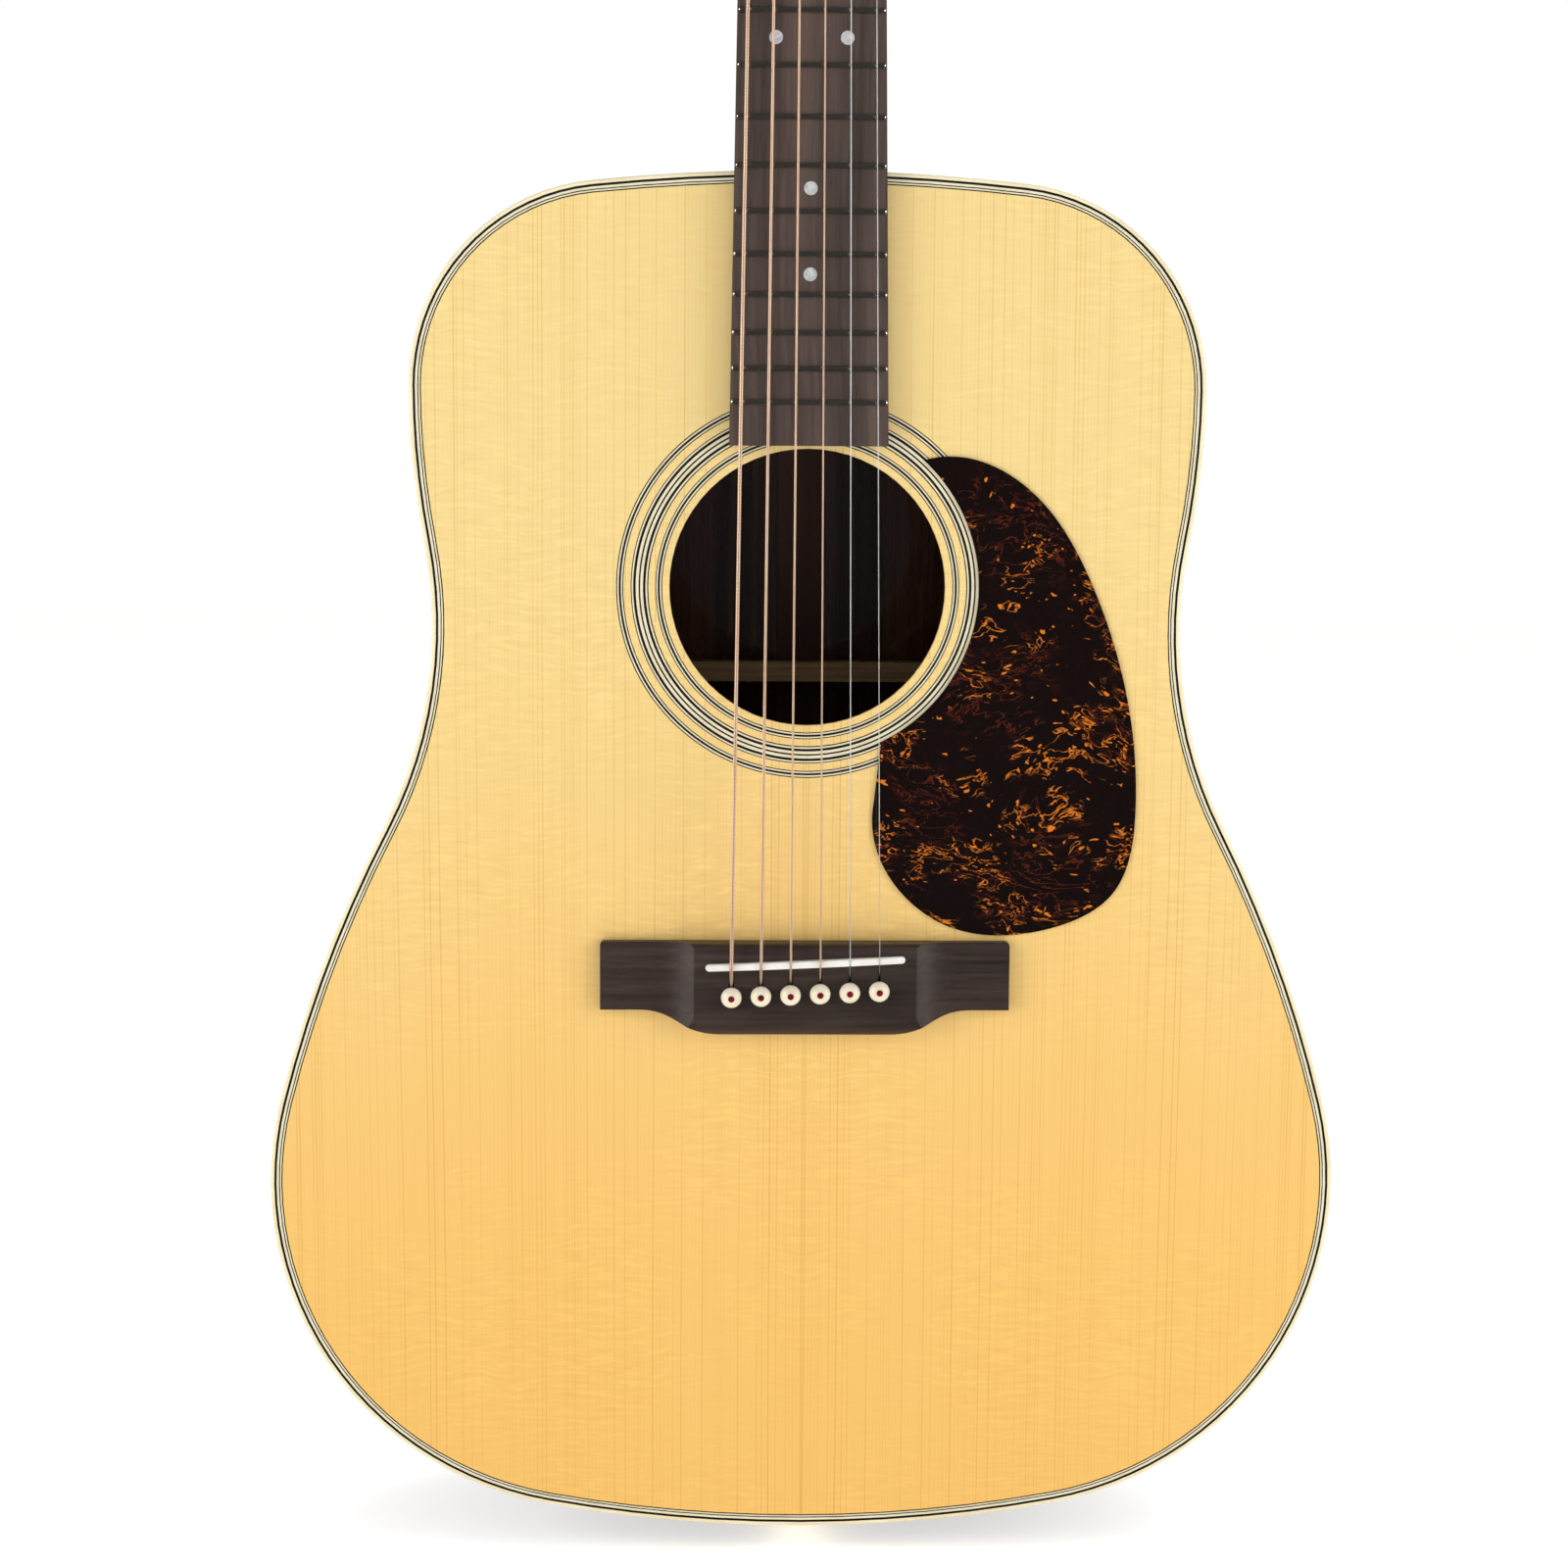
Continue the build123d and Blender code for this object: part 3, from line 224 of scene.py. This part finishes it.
def makeSpruce(values):
    # bookmatched: the growth rings mirror at the centre seam
    wood = Surface("spruceTop")
    x, y, z = wood.axes(wood.place)
    across = wood.math("ABSOLUTE", x)
    sheet = wood.point(across, y, z)
    wander = wood.noise(wood.stretch(sheet, (9.0, 1.0, 2.2)), detail=1.0)
    pace = wood.noise(wood.stretch(sheet, (38.0, 1.0, 0.15)), detail=2.0)
    rings = wood.math("DIVIDE", across, values["ringWidth"])
    rings = wood.math("ADD", rings, wood.math("MULTIPLY", wander, 3.0))
    rings = wood.math("ADD", rings, wood.math("MULTIPLY", pace, 9.0))
    phase = wood.math("FRACT", rings)
    line = wood.math("MULTIPLY", wood.span(phase, 0.45, 0.88), wood.span(phase, 1.0, 0.93))
    strength = wood.scatter(wood.math("FLOOR", rings))
    strength = wood.math("ADD", 0.10, wood.math("MULTIPLY", wood.math("POWER", strength, 3.0), 0.90))
    fade = wood.span(wood.noise(wood.stretch(sheet, (60.0, 1.0, 7.0)), detail=2.0), 0.3, 0.7, 0.45, 1.0)
    line = wood.math("MULTIPLY", wood.math("MULTIPLY", line, strength), fade)
    tone = wood.noise(wood.stretch(sheet, (7.0, 1.0, 2.0), shift=(3.1, 0.0, 1.7)), detail=3.0)
    # paler towards the top by height: painted light, the upper body drawn as if lit more than the lower
    # body
    high = wood.span(z, 0.02, 0.50)
    tone = wood.math("ADD", wood.math("MULTIPLY", tone, 0.40), wood.math("MULTIPLY", high, 0.75))
    colour = wood.mix(wood.span(tone, 0.15, 0.95), values["golden"], values["pale"])
    fibre = wood.noise(wood.stretch(sheet, (1500.0, 1.0, 22.0)), detail=3.0, rough=0.65)
    colour = wood.mix(wood.span(fibre, 0.35, 0.70, 0.0, 0.16), colour, (0.93, 0.86, 0.72), "MULTIPLY")
    bend = wood.drift(sheet, 26.0, 0.012)
    ray = wood.noise(wood.stretch(bend, (85.0, 1.0, 620.0)), detail=2.0, rough=0.6)
    patch = wood.noise(wood.stretch(sheet, (11.0, 1.0, 9.0), shift=(8.0, 0.0, 2.0)), detail=2.0)
    # silk: the spruce's ray figure is real, but its bands are brightened above the wood's own colour as
    # painted sheen, and the next step darkens the gaps between them as painted shade
    silkSheen = wood.math("MULTIPLY", wood.span(ray, 0.50, 0.66), wood.span(patch, 0.34, 0.62))
    colour = wood.mix(silkSheen, colour, values["silkSheen"], "MULTIPLY")
    shade = wood.math("MULTIPLY", wood.span(ray, 0.46, 0.30), wood.span(patch, 0.30, 0.62, 0.0, 0.30))
    colour = wood.mix(shade, colour, (0.90, 0.82, 0.68), "MULTIPLY")
    colour = wood.mix(line, colour, values["lateWood"], "MULTIPLY")
    seam = wood.span(across, 0.00035, 0.0001, 0.0, 0.35)
    colour = wood.mix(seam, colour, (0.72, 0.55, 0.36), "MULTIPLY")
    relief = wood.bump(wood.math("ADD", line, wood.math("MULTIPLY", ray, 0.4)), 0.00003, 0.4)
    rough = wood.span(ray, 0.3, 0.7, 0.30, 0.38)
    return wood.finish(
        colour, rough, relief,
        **{"Coat Weight": 0.35, "Coat Roughness": 0.09, "Specular IOR Level": 0.35},
    )


innerSpruceSet = {"pale": (0.62, 0.43, 0.22), "dark": (0.42, 0.26, 0.12)}


def makeInnerSpruce(values, name, scale):
    # bare spruce of braces and linings
    wood = Surface(name)
    grain = wood.noise(wood.stretch(wood.place, scale), detail=4.0, rough=0.6)
    colour = wood.mix(wood.span(grain, 0.3, 0.7), values["pale"], values["dark"])
    relief = wood.bump(grain, 0.0002, 0.4)
    return wood.finish(colour, 0.72, relief)


# grain maps give how fast the figure changes along x, y and z, in cycles a metre
darkWoodSets = {
    "rosewoodBack": {
        "broad": (46.0, 6.0, 2.2), "fine": (260.0, 30.0, 9.0), "pore": (1500.0, 300.0, 55.0),
        "stops": ((0.22, (0.010, 0.004, 0.003)), (0.42, (0.036, 0.012, 0.008)),
                  (0.60, (0.085, 0.028, 0.015)), (0.82, (0.17, 0.066, 0.032))),
        "rough": 0.24, "coat": 0.8, "fold": True,
    },
    "rosewoodSide": {
        "broad": (2.4, 46.0, 2.4), "fine": (10.0, 260.0, 10.0), "pore": (60.0, 1500.0, 60.0),
        "stops": ((0.22, (0.010, 0.004, 0.003)), (0.42, (0.036, 0.012, 0.008)),
                  (0.60, (0.085, 0.028, 0.015)), (0.82, (0.17, 0.066, 0.032))),
        "rough": 0.24, "coat": 0.8, "fold": False,
    },
    "mahogany": {
        "broad": (38.0, 38.0, 2.0), "fine": (300.0, 300.0, 8.0), "pore": (1300.0, 1300.0, 60.0),
        "stops": ((0.20, (0.075, 0.026, 0.012)), (0.45, (0.135, 0.050, 0.022)),
                  (0.65, (0.19, 0.078, 0.034)), (0.85, (0.25, 0.11, 0.052))),
        "rough": 0.36, "coat": 0.25, "fold": False,
    },
    "mahoganyDark": {
        "broad": (38.0, 38.0, 2.0), "fine": (300.0, 300.0, 8.0), "pore": (1300.0, 1300.0, 60.0),
        "stops": ((0.20, (0.040, 0.012, 0.006)), (0.45, (0.075, 0.024, 0.011)),
                  (0.65, (0.11, 0.038, 0.017)), (0.85, (0.15, 0.056, 0.026))),
        "rough": 0.5, "coat": 0.0, "fold": False,
    },
    "ebonyBoard": {
        "broad": (75.0, 20.0, 3.5), "fine": (620.0, 100.0, 24.0), "pore": (1900.0, 900.0, 110.0),
        "stops": ((0.24, (0.026, 0.016, 0.013)), (0.42, (0.058, 0.038, 0.031)),
                  (0.60, (0.105, 0.068, 0.054)), (0.80, (0.175, 0.108, 0.080))),
        "rough": 0.46, "coat": 0.0, "fold": False,
    },
    "ebonyBridge": {
        "broad": (4.5, 90.0, 75.0), "fine": (26.0, 500.0, 620.0), "pore": (95.0, 900.0, 1700.0),
        "stops": ((0.24, (0.011, 0.0065, 0.005)), (0.42, (0.026, 0.016, 0.012)),
                  (0.60, (0.052, 0.032, 0.025)), (0.80, (0.098, 0.062, 0.049))),
        "rough": 0.40, "coat": 0.0, "fold": False,
    },
    "mapleRough": {
        "broad": (2.0, 20.0, 24.0), "fine": (9.0, 200.0, 300.0), "pore": (60.0, 900.0, 1200.0),
        "stops": ((0.2, (0.40, 0.27, 0.14)), (0.45, (0.50, 0.35, 0.19)),
                  (0.65, (0.56, 0.41, 0.24)), (0.85, (0.62, 0.47, 0.29))),
        "rough": 0.6, "coat": 0.0, "fold": False,
    },
}


def makeDarkWood(name, values):
    wood = Surface(name)
    place = wood.place
    if values["fold"]:
        x, y, z = wood.axes(place)
        place = wood.point(wood.math("ABSOLUTE", x), y, z)
    wavy = wood.drift(place, 7.0, 0.010)
    broad = wood.noise(wood.stretch(wavy, values["broad"]), detail=4.0, rough=0.55, swirl=0.25)
    fine = wood.noise(wood.stretch(wavy, values["fine"]), detail=3.0, rough=0.6)
    figure = wood.math("ADD", wood.math("MULTIPLY", broad, 0.66), wood.math("MULTIPLY", fine, 0.34))
    colour = wood.ramp(figure, values["stops"])
    pore = wood.noise(wood.stretch(place, values["pore"]), detail=1.0)
    pit = wood.span(pore, 0.66, 0.78)
    colour = wood.mix(wood.math("MULTIPLY", pit, 0.55), colour, (0.35, 0.30, 0.28), "MULTIPLY")
    height = wood.math("SUBTRACT", wood.math("MULTIPLY", fine, 0.3), pit)
    relief = wood.bump(height, 0.00006, 0.5)
    rough = wood.span(fine, 0.3, 0.7, values["rough"], values["rough"] + 0.10)
    return wood.finish(
        colour, rough, relief,
        **{"Coat Weight": values["coat"], "Coat Roughness": 0.06},
    )


plasticSets = {
    "creamBinding": {
        "light": (0.90, 0.81, 0.545), "deep": (0.84, 0.73, 0.45),
        "rough": 0.22, "scale": 60.0,
    },
    "whiteLine": {
        "light": (0.84, 0.77, 0.55), "deep": (0.76, 0.68, 0.46),
        "rough": 0.32, "scale": 150.0,
    },
    "blackLine": {
        "light": (0.005, 0.004, 0.004), "deep": (0.003, 0.003, 0.003),
        "rough": 0.45, "scale": 150.0,
    },
    "boneWhite": {
        "light": (0.90, 0.885, 0.84), "deep": (0.80, 0.77, 0.70),
        "rough": 0.30, "scale": 90.0,
    },
    "pinCream": {
        "light": (0.87, 0.80, 0.62), "deep": (0.80, 0.71, 0.52),
        "rough": 0.16, "scale": 220.0,
    },
    "pinDotRed": {
        "light": (0.20, 0.008, 0.010), "deep": (0.10, 0.004, 0.006),
        "rough": 0.10, "scale": 600.0,
    },
}


def makePlastic(name, values):
    plastic = Surface(name)
    cloud = plastic.noise(plastic.place, values["scale"], detail=3.0, rough=0.55)
    colour = plastic.mix(plastic.span(cloud, 0.35, 0.68), values["light"], values["deep"])
    scuff = plastic.noise(plastic.place, values["scale"] * 9.0, detail=2.0)
    rough = plastic.span(scuff, 0.3, 0.7, values["rough"], values["rough"] + 0.08)
    relief = plastic.bump(scuff, 0.00002, 0.25)
    return plastic.finish(colour, rough, relief, **{"Coat Weight": 0.3, "Coat Roughness": 0.08})


tortoiseSet = {
    "ground": (0.0060, 0.0022, 0.0019),
    "ember": (0.085, 0.014, 0.005),
    "amber": (0.74, 0.20, 0.018),
    "flow": (13.0, 1.0, 30.0),
}


def makeTortoise(values):
    # celluloid swirl: thin warped layers drawn out along the flow, amber in clusters
    shell = Surface("tortoise")
    big = shell.drift(shell.place, 22.0, 0.030, detail=1.0)
    bent = shell.drift(big, 90.0, 0.007, detail=3.0)
    layer = shell.noise(shell.stretch(bent, values["flow"]), 7.0, detail=4.0, rough=0.6, swirl=0.7)
    wisp = shell.span(shell.math("ABSOLUTE", shell.math("SUBTRACT", layer, 0.5)), 0.022, 0.003)
    where = shell.noise(shell.place, 48.0, detail=2.0)
    wisp = shell.math("MULTIPLY", wisp, shell.span(where, 0.44, 0.60))
    colour = shell.mix(wisp, values["ground"], values["ember"])
    second = shell.noise(
        shell.stretch(bent, values["flow"], shift=(5.0, 0.0, 9.0)), 8.0, detail=3.0, rough=0.6, swirl=0.9
    )
    thread = shell.span(shell.math("ABSOLUTE", shell.math("SUBTRACT", second, 0.54)), 0.020, 0.005)
    patch = shell.span(shell.noise(shell.place, 62.0, detail=2.0), 0.53, 0.61)
    thread = shell.math("MULTIPLY", thread, patch)
    drops = shell.noise(shell.stretch(bent, (95.0, 1.0, 150.0), shift=(1.0, 0.0, 4.0)), 2.2, detail=2.0)
    amber = shell.math("MAXIMUM", thread, shell.span(drops, 0.68, 0.71))
    colour = shell.mix(shell.math("MULTIPLY", amber, 0.9), colour, values["amber"])
    return shell.finish(
        colour, 0.10, **{"Coat Weight": 0.6, "Coat Roughness": 0.03, "Specular IOR Level": 0.4}
    )


pearlSet = {"light": (0.60, 0.61, 0.62), "deep": (0.42, 0.43, 0.46)}


def makePearl(values):
    pearl = Surface("pearl")
    swirl = pearl.noise(pearl.drift(pearl.place, 260.0, 0.004), 420.0, detail=3.0, swirl=1.2)
    colour = pearl.mix(pearl.span(swirl, 0.3, 0.7), values["deep"], values["light"])
    return pearl.finish(
        colour, pearl.span(swirl, 0.3, 0.7, 0.14, 0.30),
        **{"Coat Weight": 0.6, "Coat Roughness": 0.05, "Sheen Weight": 0.15},
    )


metalSets = {
    "fretSilver": {
        "colour": (0.66, 0.63, 0.57), "worn": (0.58, 0.54, 0.48),
        "rough": 0.15, "brush": (90.0, 900.0, 900.0),
    },
    "plainSteel": {
        "colour": (0.92, 0.92, 0.91), "worn": (0.80, 0.80, 0.79),
        "rough": 0.42, "brush": (900.0, 900.0, 60.0),
    },
    "nickel": {
        "colour": (0.74, 0.72, 0.68), "worn": (0.62, 0.60, 0.56),
        "rough": 0.13, "brush": (300.0, 300.0, 300.0),
    },
    "darkRod": {
        "colour": (0.10, 0.10, 0.10), "worn": (0.06, 0.06, 0.06),
        "rough": 0.4, "brush": (300.0, 300.0, 30.0),
    },
}


def makeMetal(name, values):
    metal = Surface(name)
    streak = metal.noise(metal.stretch(metal.place, values["brush"]), detail=3.0, rough=0.6)
    colour = metal.mix(metal.span(streak, 0.35, 0.7), values["colour"], values["worn"])
    rough = metal.span(streak, 0.3, 0.7, values["rough"], values["rough"] + 0.09)
    relief = metal.bump(streak, 0.00001, 0.3)
    return metal.finish(colour, rough, relief, Metallic=1.0)


woundSet = {
    "bright": (0.98, 0.72, 0.52), "grooveShade": (0.58, 0.34, 0.22),
    "pitches": (0.00022, 0.00028, 0.00038, 0.00048),
}


def makeWound(name, pitch, values):
    # phosphor bronze wrap: one ridge for each turn of the wrap wire
    metal = Surface(name)
    z = metal.axes(metal.place)[2]
    turns = metal.math("SINE", metal.math("MULTIPLY", z, 2 * math.pi / pitch))
    ridge = metal.math("ADD", 0.5, metal.math("MULTIPLY", turns, 0.5))
    # darker in the grooves between wrap turns: painted shade in the recesses, the ridges keep the bronze
    # colour
    colour = metal.mix(metal.span(ridge, 0.0, 0.55), values["grooveShade"], values["bright"])
    tarnish = metal.noise(metal.stretch(metal.place, (400.0, 400.0, 30.0)), detail=3.0)
    colour = metal.mix(metal.span(tarnish, 0.45, 0.75, 0.0, 0.22), colour, (0.75, 0.62, 0.55), "MULTIPLY")
    relief = metal.bump(ridge, 0.00003, 0.5)
    return metal.finish(colour, metal.span(tarnish, 0.3, 0.7, 0.42, 0.52), relief, Metallic=0.7)


materials = {"spruceTop": makeSpruce(spruceSet)}
materials["innerAlong"] = makeInnerSpruce(innerSpruceSet, "innerSpruceAlong", (500.0, 300.0, 14.0))
materials["innerAcross"] = makeInnerSpruce(innerSpruceSet, "innerSpruceAcross", (14.0, 300.0, 500.0))
for name, values in darkWoodSets.items():
    materials[name] = makeDarkWood(name, values)
for name, values in plasticSets.items():
    materials[name] = makePlastic(name, values)
materials["tortoise"] = makeTortoise(tortoiseSet)
materials["pearl"] = makePearl(pearlSet)
for name, values in metalSets.items():
    materials[name] = makeMetal(name, values)
for string, pitch in zip((3, 4, 5, 6), woundSet["pitches"]):
    materials[f"wound{string}"] = makeWound(f"wound{string}", pitch, woundSet)
print("materials made:", len(materials))

strings = range(1, 7)
coats = {
    "spruceTop": ["soundboard"],
    "innerAlong": ["linings", "top_braces", "x_brace"],
    "innerAcross": ["back_braces"],
    "rosewoodBack": ["back_plate", "head_veneer"],
    "rosewoodSide": ["side_bass", "side_treble"],
    "mahogany": ["neck", "neck_block", "tail_block"],
    "mahoganyDark": ["back_joint_strip"],
    "ebonyBoard": ["fingerboard"],
    "ebonyBridge": ["bridge"],
    "mapleRough": ["bridge_plate"],
    "creamBinding": ["top_binding", "back_binding", "end_wedge", "heel_cap"],
    "whiteLine": ["rosette_white", "top_purfling_white", "back_strip"],
    "blackLine": ["rosette_black", "top_purfling_black"],
    "boneWhite": ["saddle", "nut"],
    "pinCream": [f"bridge_pin_{string}" for string in strings] + ["end_pin"],
    "tortoise": ["pickguard"],
    "pearl": ["position_dots"],
    "fretSilver": ["frets"],
    "plainSteel": ["string_1", "string_2"],
    "nickel": ["tuner_plates", "tuner_screws", "tuner_bushings"]
    + [f"tuner_{string}_key" for string in strings]
    + [f"tuner_{string}_post" for string in strings],
    "darkRod": ["truss_rod"],
}
for string in (3, 4, 5, 6):
    coats[f"wound{string}"] = [f"string_{string}"]


def paint(piece, material):
    if not piece.data.materials:
        piece.data.materials.append(material)
    for spot in range(len(piece.data.materials)):
        piece.data.materials[spot] = material


for name, members in coats.items():
    for member in members:
        paint(nodes[member], materials[name])
print("CAD nodes painted")

# pieces made here, each riding on the body that its CAD solid belongs to
def finishPiece(form, name, body, material, smooth=True):
    bmesh.ops.recalc_face_normals(form, faces=form.faces)
    mesh = bpy.data.meshes.new(name)
    form.to_mesh(mesh)
    form.free()
    piece = bpy.data.objects.new(name, mesh)
    bpy.context.scene.collection.objects.link(piece)
    for face in mesh.polygons:
        face.use_smooth = smooth
    paint(piece, material)
    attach(piece, body)
    return piece


guardSet = {
    "weld": 0.00001,
    "merge": 0.02,  # radians: flatter than this counts as one face
    "sharp": 0.7,  # radians: edges sharper than this are eased
    "flatness": 0.0006,
    "edge": 0.0005,
    "segments": 3,
}


def makeGuard(values):
    # the CAD plate with its sharp rim eased, as on a moulded guard
    form = bmesh.new()
    form.from_mesh(nodes["pickguard"].data)
    bmesh.ops.remove_doubles(form, verts=form.verts, dist=values["weld"])
    bmesh.ops.dissolve_limit(form, angle_limit=values["merge"], verts=form.verts, edges=form.edges)
    front = min(vertex.co.y for vertex in form.verts)
    rim = [
        edge for edge in form.edges
        if all(abs(vertex.co.y - front) < values["flatness"] for vertex in edge.verts)
        and len(edge.link_faces) == 2
        and edge.calc_face_angle() > values["sharp"]
    ]
    bmesh.ops.bevel(
        form, geom=rim, offset=values["edge"], offset_type="OFFSET", affect="EDGES",
        segments=values["segments"], profile=0.5, material=-1, clamp_overlap=True,
    )
    piece = finishPiece(form, "guardPlate", "guitar", materials["tortoise"], smooth=False)
    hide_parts("pickguard")


dotSet = {"radius": 0.0012, "proud": 0.00012, "segments": 24, "rings": 12}


def makePinDots(values):
    # a lens set in the crown of each bridge pin
    for string in strings:
        low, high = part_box(f"bridge_pin_{string}")
        crown = Vector(((low.x + high.x) / 2, low.y, (low.z + high.z) / 2))
        form = bmesh.new()
        bmesh.ops.create_uvsphere(
            form, u_segments=values["segments"], v_segments=values["rings"], radius=values["radius"]
        )
        bmesh.ops.scale(form, verts=form.verts, vec=(1.0, values["proud"] / values["radius"], 1.0))
        bmesh.ops.translate(form, verts=form.verts, vec=crown)
        finishPiece(form, f"pinDot{string}", f"bridge_pin_{string}", materials["pinDotRed"])


beadSet = {
    "radius": 0.00115,
    "cell": 0.004,  # vertices this close along the neck belong to one fret
    "band": 0.0004,  # how far in from the fret's end its height is read
    "crown": 0.0011,
    "segments": 12,
    "rings": 8,
}


def makeFretBeads(values):
    # the rounded end of each fret, placed from the fret's own mesh
    spots = {}
    for vertex in nodes["frets"].data.vertices:
        spots.setdefault(round(vertex.co.z / values["cell"]), []).append(vertex.co.copy())
    groups = []
    for key in sorted(spots):
        if groups and key - groups[-1][0] <= 1:
            groups[-1][1].extend(spots[key])
        else:
            groups.append([key, list(spots[key])])
    form = bmesh.new()
    for key, points in groups:
        middle = (min(p.z for p in points) + max(p.z for p in points)) / 2
        for side in (-1, 1):
            reach = max(p.x * side for p in points)
            near = [p for p in points if p.x * side > reach - values["band"]]
            foot = min(p.y for p in near) + values["crown"]
            ball = bmesh.ops.create_uvsphere(
                form, u_segments=values["segments"], v_segments=values["rings"], radius=values["radius"]
            )["verts"]
            bmesh.ops.translate(form, verts=ball, vec=(side * reach, foot, middle))
    finishPiece(form, "fretBeads", "guitar", materials["fretSilver"])
    print("fret ends:", len(groups))


coilSet = {
    "gauges": (0.00030, 0.00041, 0.00061, 0.00081, 0.00107, 0.00135),
    "postRadius": 0.003,
    "drop": 0.022,  # from the joint's point to the height of the string
    "lead": 1.02,  # how far one turn lies from the next, in string thicknesses
    "turns": 4,
    "around": 20,
    "sides": 8,
}


def makeCoils(values):
    # the wound-on end of each string, lying on its post just behind the string
    joints = {joint["name"]: joint for joint in frame["joints"]}
    for string, gauge in zip(strings, values["gauges"]):
        joint = joints[f"tuner_{string}_post_turn"]
        axis = Vector(joint["axis"]).normalized()
        start = Vector(joint["pos_m"]) - axis * values["drop"]
        side = axis.orthogonal().normalized()
        form = bmesh.new()
        ring = bmesh.ops.create_circle(form, segments=values["sides"], radius=gauge / 2)["verts"]
        flow = axis.cross(side)
        turn = Matrix((side, axis, flow)).transposed().to_4x4()
        bmesh.ops.transform(form, matrix=turn, verts=ring)
        bmesh.ops.translate(form, verts=ring, vec=start + side * (values["postRadius"] + gauge / 2))
        steps = values["turns"] * values["around"]
        bmesh.ops.spin(
            form, geom=form.verts[:] + form.edges[:], cent=start, axis=axis,
            dvec=axis * (gauge * values["lead"] / values["around"]),
            angle=2 * math.pi * values["turns"], steps=steps,
        )
        bmesh.ops.holes_fill(form, edges=[edge for edge in form.edges if edge.is_boundary])
        coat = materials["plainSteel"] if string < 3 else materials[f"wound{string}"]
        finishPiece(form, f"stringCoil{string}", f"tuner_{string}_post", coat)


makeGuard(guardSet)
makeCoils(coilSet)
makePinDots(dotSet)
makeFretBeads(beadSet)
print("pieces made")

lightSet = {
    "softboxes": (
        # name, place, aimed at, width, height, power
        ("softboxLeft", (-2.0, -1.0, 0.75), (0.0, 0.0, 0.3), 1.0, 1.7, 25.5),
        ("softboxRight", (2.0, -1.0, 0.75), (0.0, 0.0, 0.3), 1.0, 1.7, 24.0),
        ("softboxBack", (0.9, 1.9, 1.6), (0.0, 0.0, 0.4), 1.4, 1.4, 24.0),
    ),
    "dark": 0.22,  # the room behind the camera
    "bright": 0.60,  # the sides, the back and above
    "mirrored": 0.05,  # what polished surfaces see of the room
    "backdrop": 1.0,
}


def makeLights(values):
    for name, place, target, width, height, power in values["softboxes"]:
        data = bpy.data.lights.new(name, "AREA")
        data.shape = "RECTANGLE"
        data.size = width
        data.size_y = height
        data.energy = power
        lamp = bpy.data.objects.new(name, data)
        bpy.context.scene.collection.objects.link(lamp)
        lamp.location = place
        lamp.rotation_euler = (Vector(target) - Vector(place)).to_track_quat("-Z", "Y").to_euler()
    world = bpy.data.worlds.new("room")
    bpy.context.scene.world = world
    world.use_nodes = True
    tree = world.node_tree
    tree.nodes.clear()
    direction = tree.nodes.new("ShaderNodeTexCoord")
    parts = tree.nodes.new("ShaderNodeSeparateXYZ")
    tree.links.new(direction.outputs["Generated"], parts.inputs[0])
    ambient = tree.nodes.new("ShaderNodeMapRange")
    for key, number in (
        ("From Min", -0.9), ("From Max", 0.1), ("To Min", values["dark"]), ("To Max", values["bright"]),
    ):
        ambient.inputs[key].default_value = number
    tree.links.new(parts.outputs["Y"], ambient.inputs["Value"])
    light = tree.nodes.new("ShaderNodeLightPath")
    shade = tree.nodes.new("ShaderNodeBackground")
    output = tree.nodes.new("ShaderNodeOutputWorld")
    shade.inputs["Color"].default_value = (1.0, 1.0, 1.0, 1.0)
    level = tree.nodes.new("ShaderNodeMix")
    level.inputs[3].default_value = values["mirrored"]
    tree.links.new(light.outputs["Is Glossy Ray"], level.inputs[0])
    tree.links.new(ambient.outputs[0], level.inputs[2])
    seen = tree.nodes.new("ShaderNodeMix")
    seen.inputs[3].default_value = values["backdrop"]
    tree.links.new(light.outputs["Is Camera Ray"], seen.inputs[0])
    tree.links.new(level.outputs[0], seen.inputs[2])
    tree.links.new(seen.outputs[0], shade.inputs["Strength"])
    tree.links.new(shade.outputs[0], output.inputs["Surface"])


floorSet = {"radius": 9.0, "drop": 0.0005, "glow": 0.57}


def makeFloor(values):
    mesh = bpy.data.meshes.new("floor")
    form = bmesh.new()
    bmesh.ops.create_circle(form, cap_ends=True, radius=values["radius"], segments=96)
    bmesh.ops.translate(form, verts=form.verts, vec=(0.0, 0.0, cadBox[0].z - values["drop"]))
    form.to_mesh(mesh)
    form.free()
    floor = bpy.data.objects.new("floor", mesh)
    bpy.context.scene.collection.objects.link(floor)
    paper = Surface("floorPaper")
    speck = paper.noise(paper.place, 30.0, detail=3.0)
    colour = paper.mix(paper.span(speck, 0.3, 0.7), (0.93, 0.925, 0.92), (0.90, 0.895, 0.89))
    paint(floor, paper.finish(colour, 0.85, **{
        "Emission Color": (1.0, 1.0, 1.0, 1.0), "Emission Strength": values["glow"],
    }))
    floor.visible_glossy = False


makeLights(lightSet)
makeFloor(floorSet)
bpy.context.scene.view_settings.view_transform = "Standard"
print("stage and lights set")
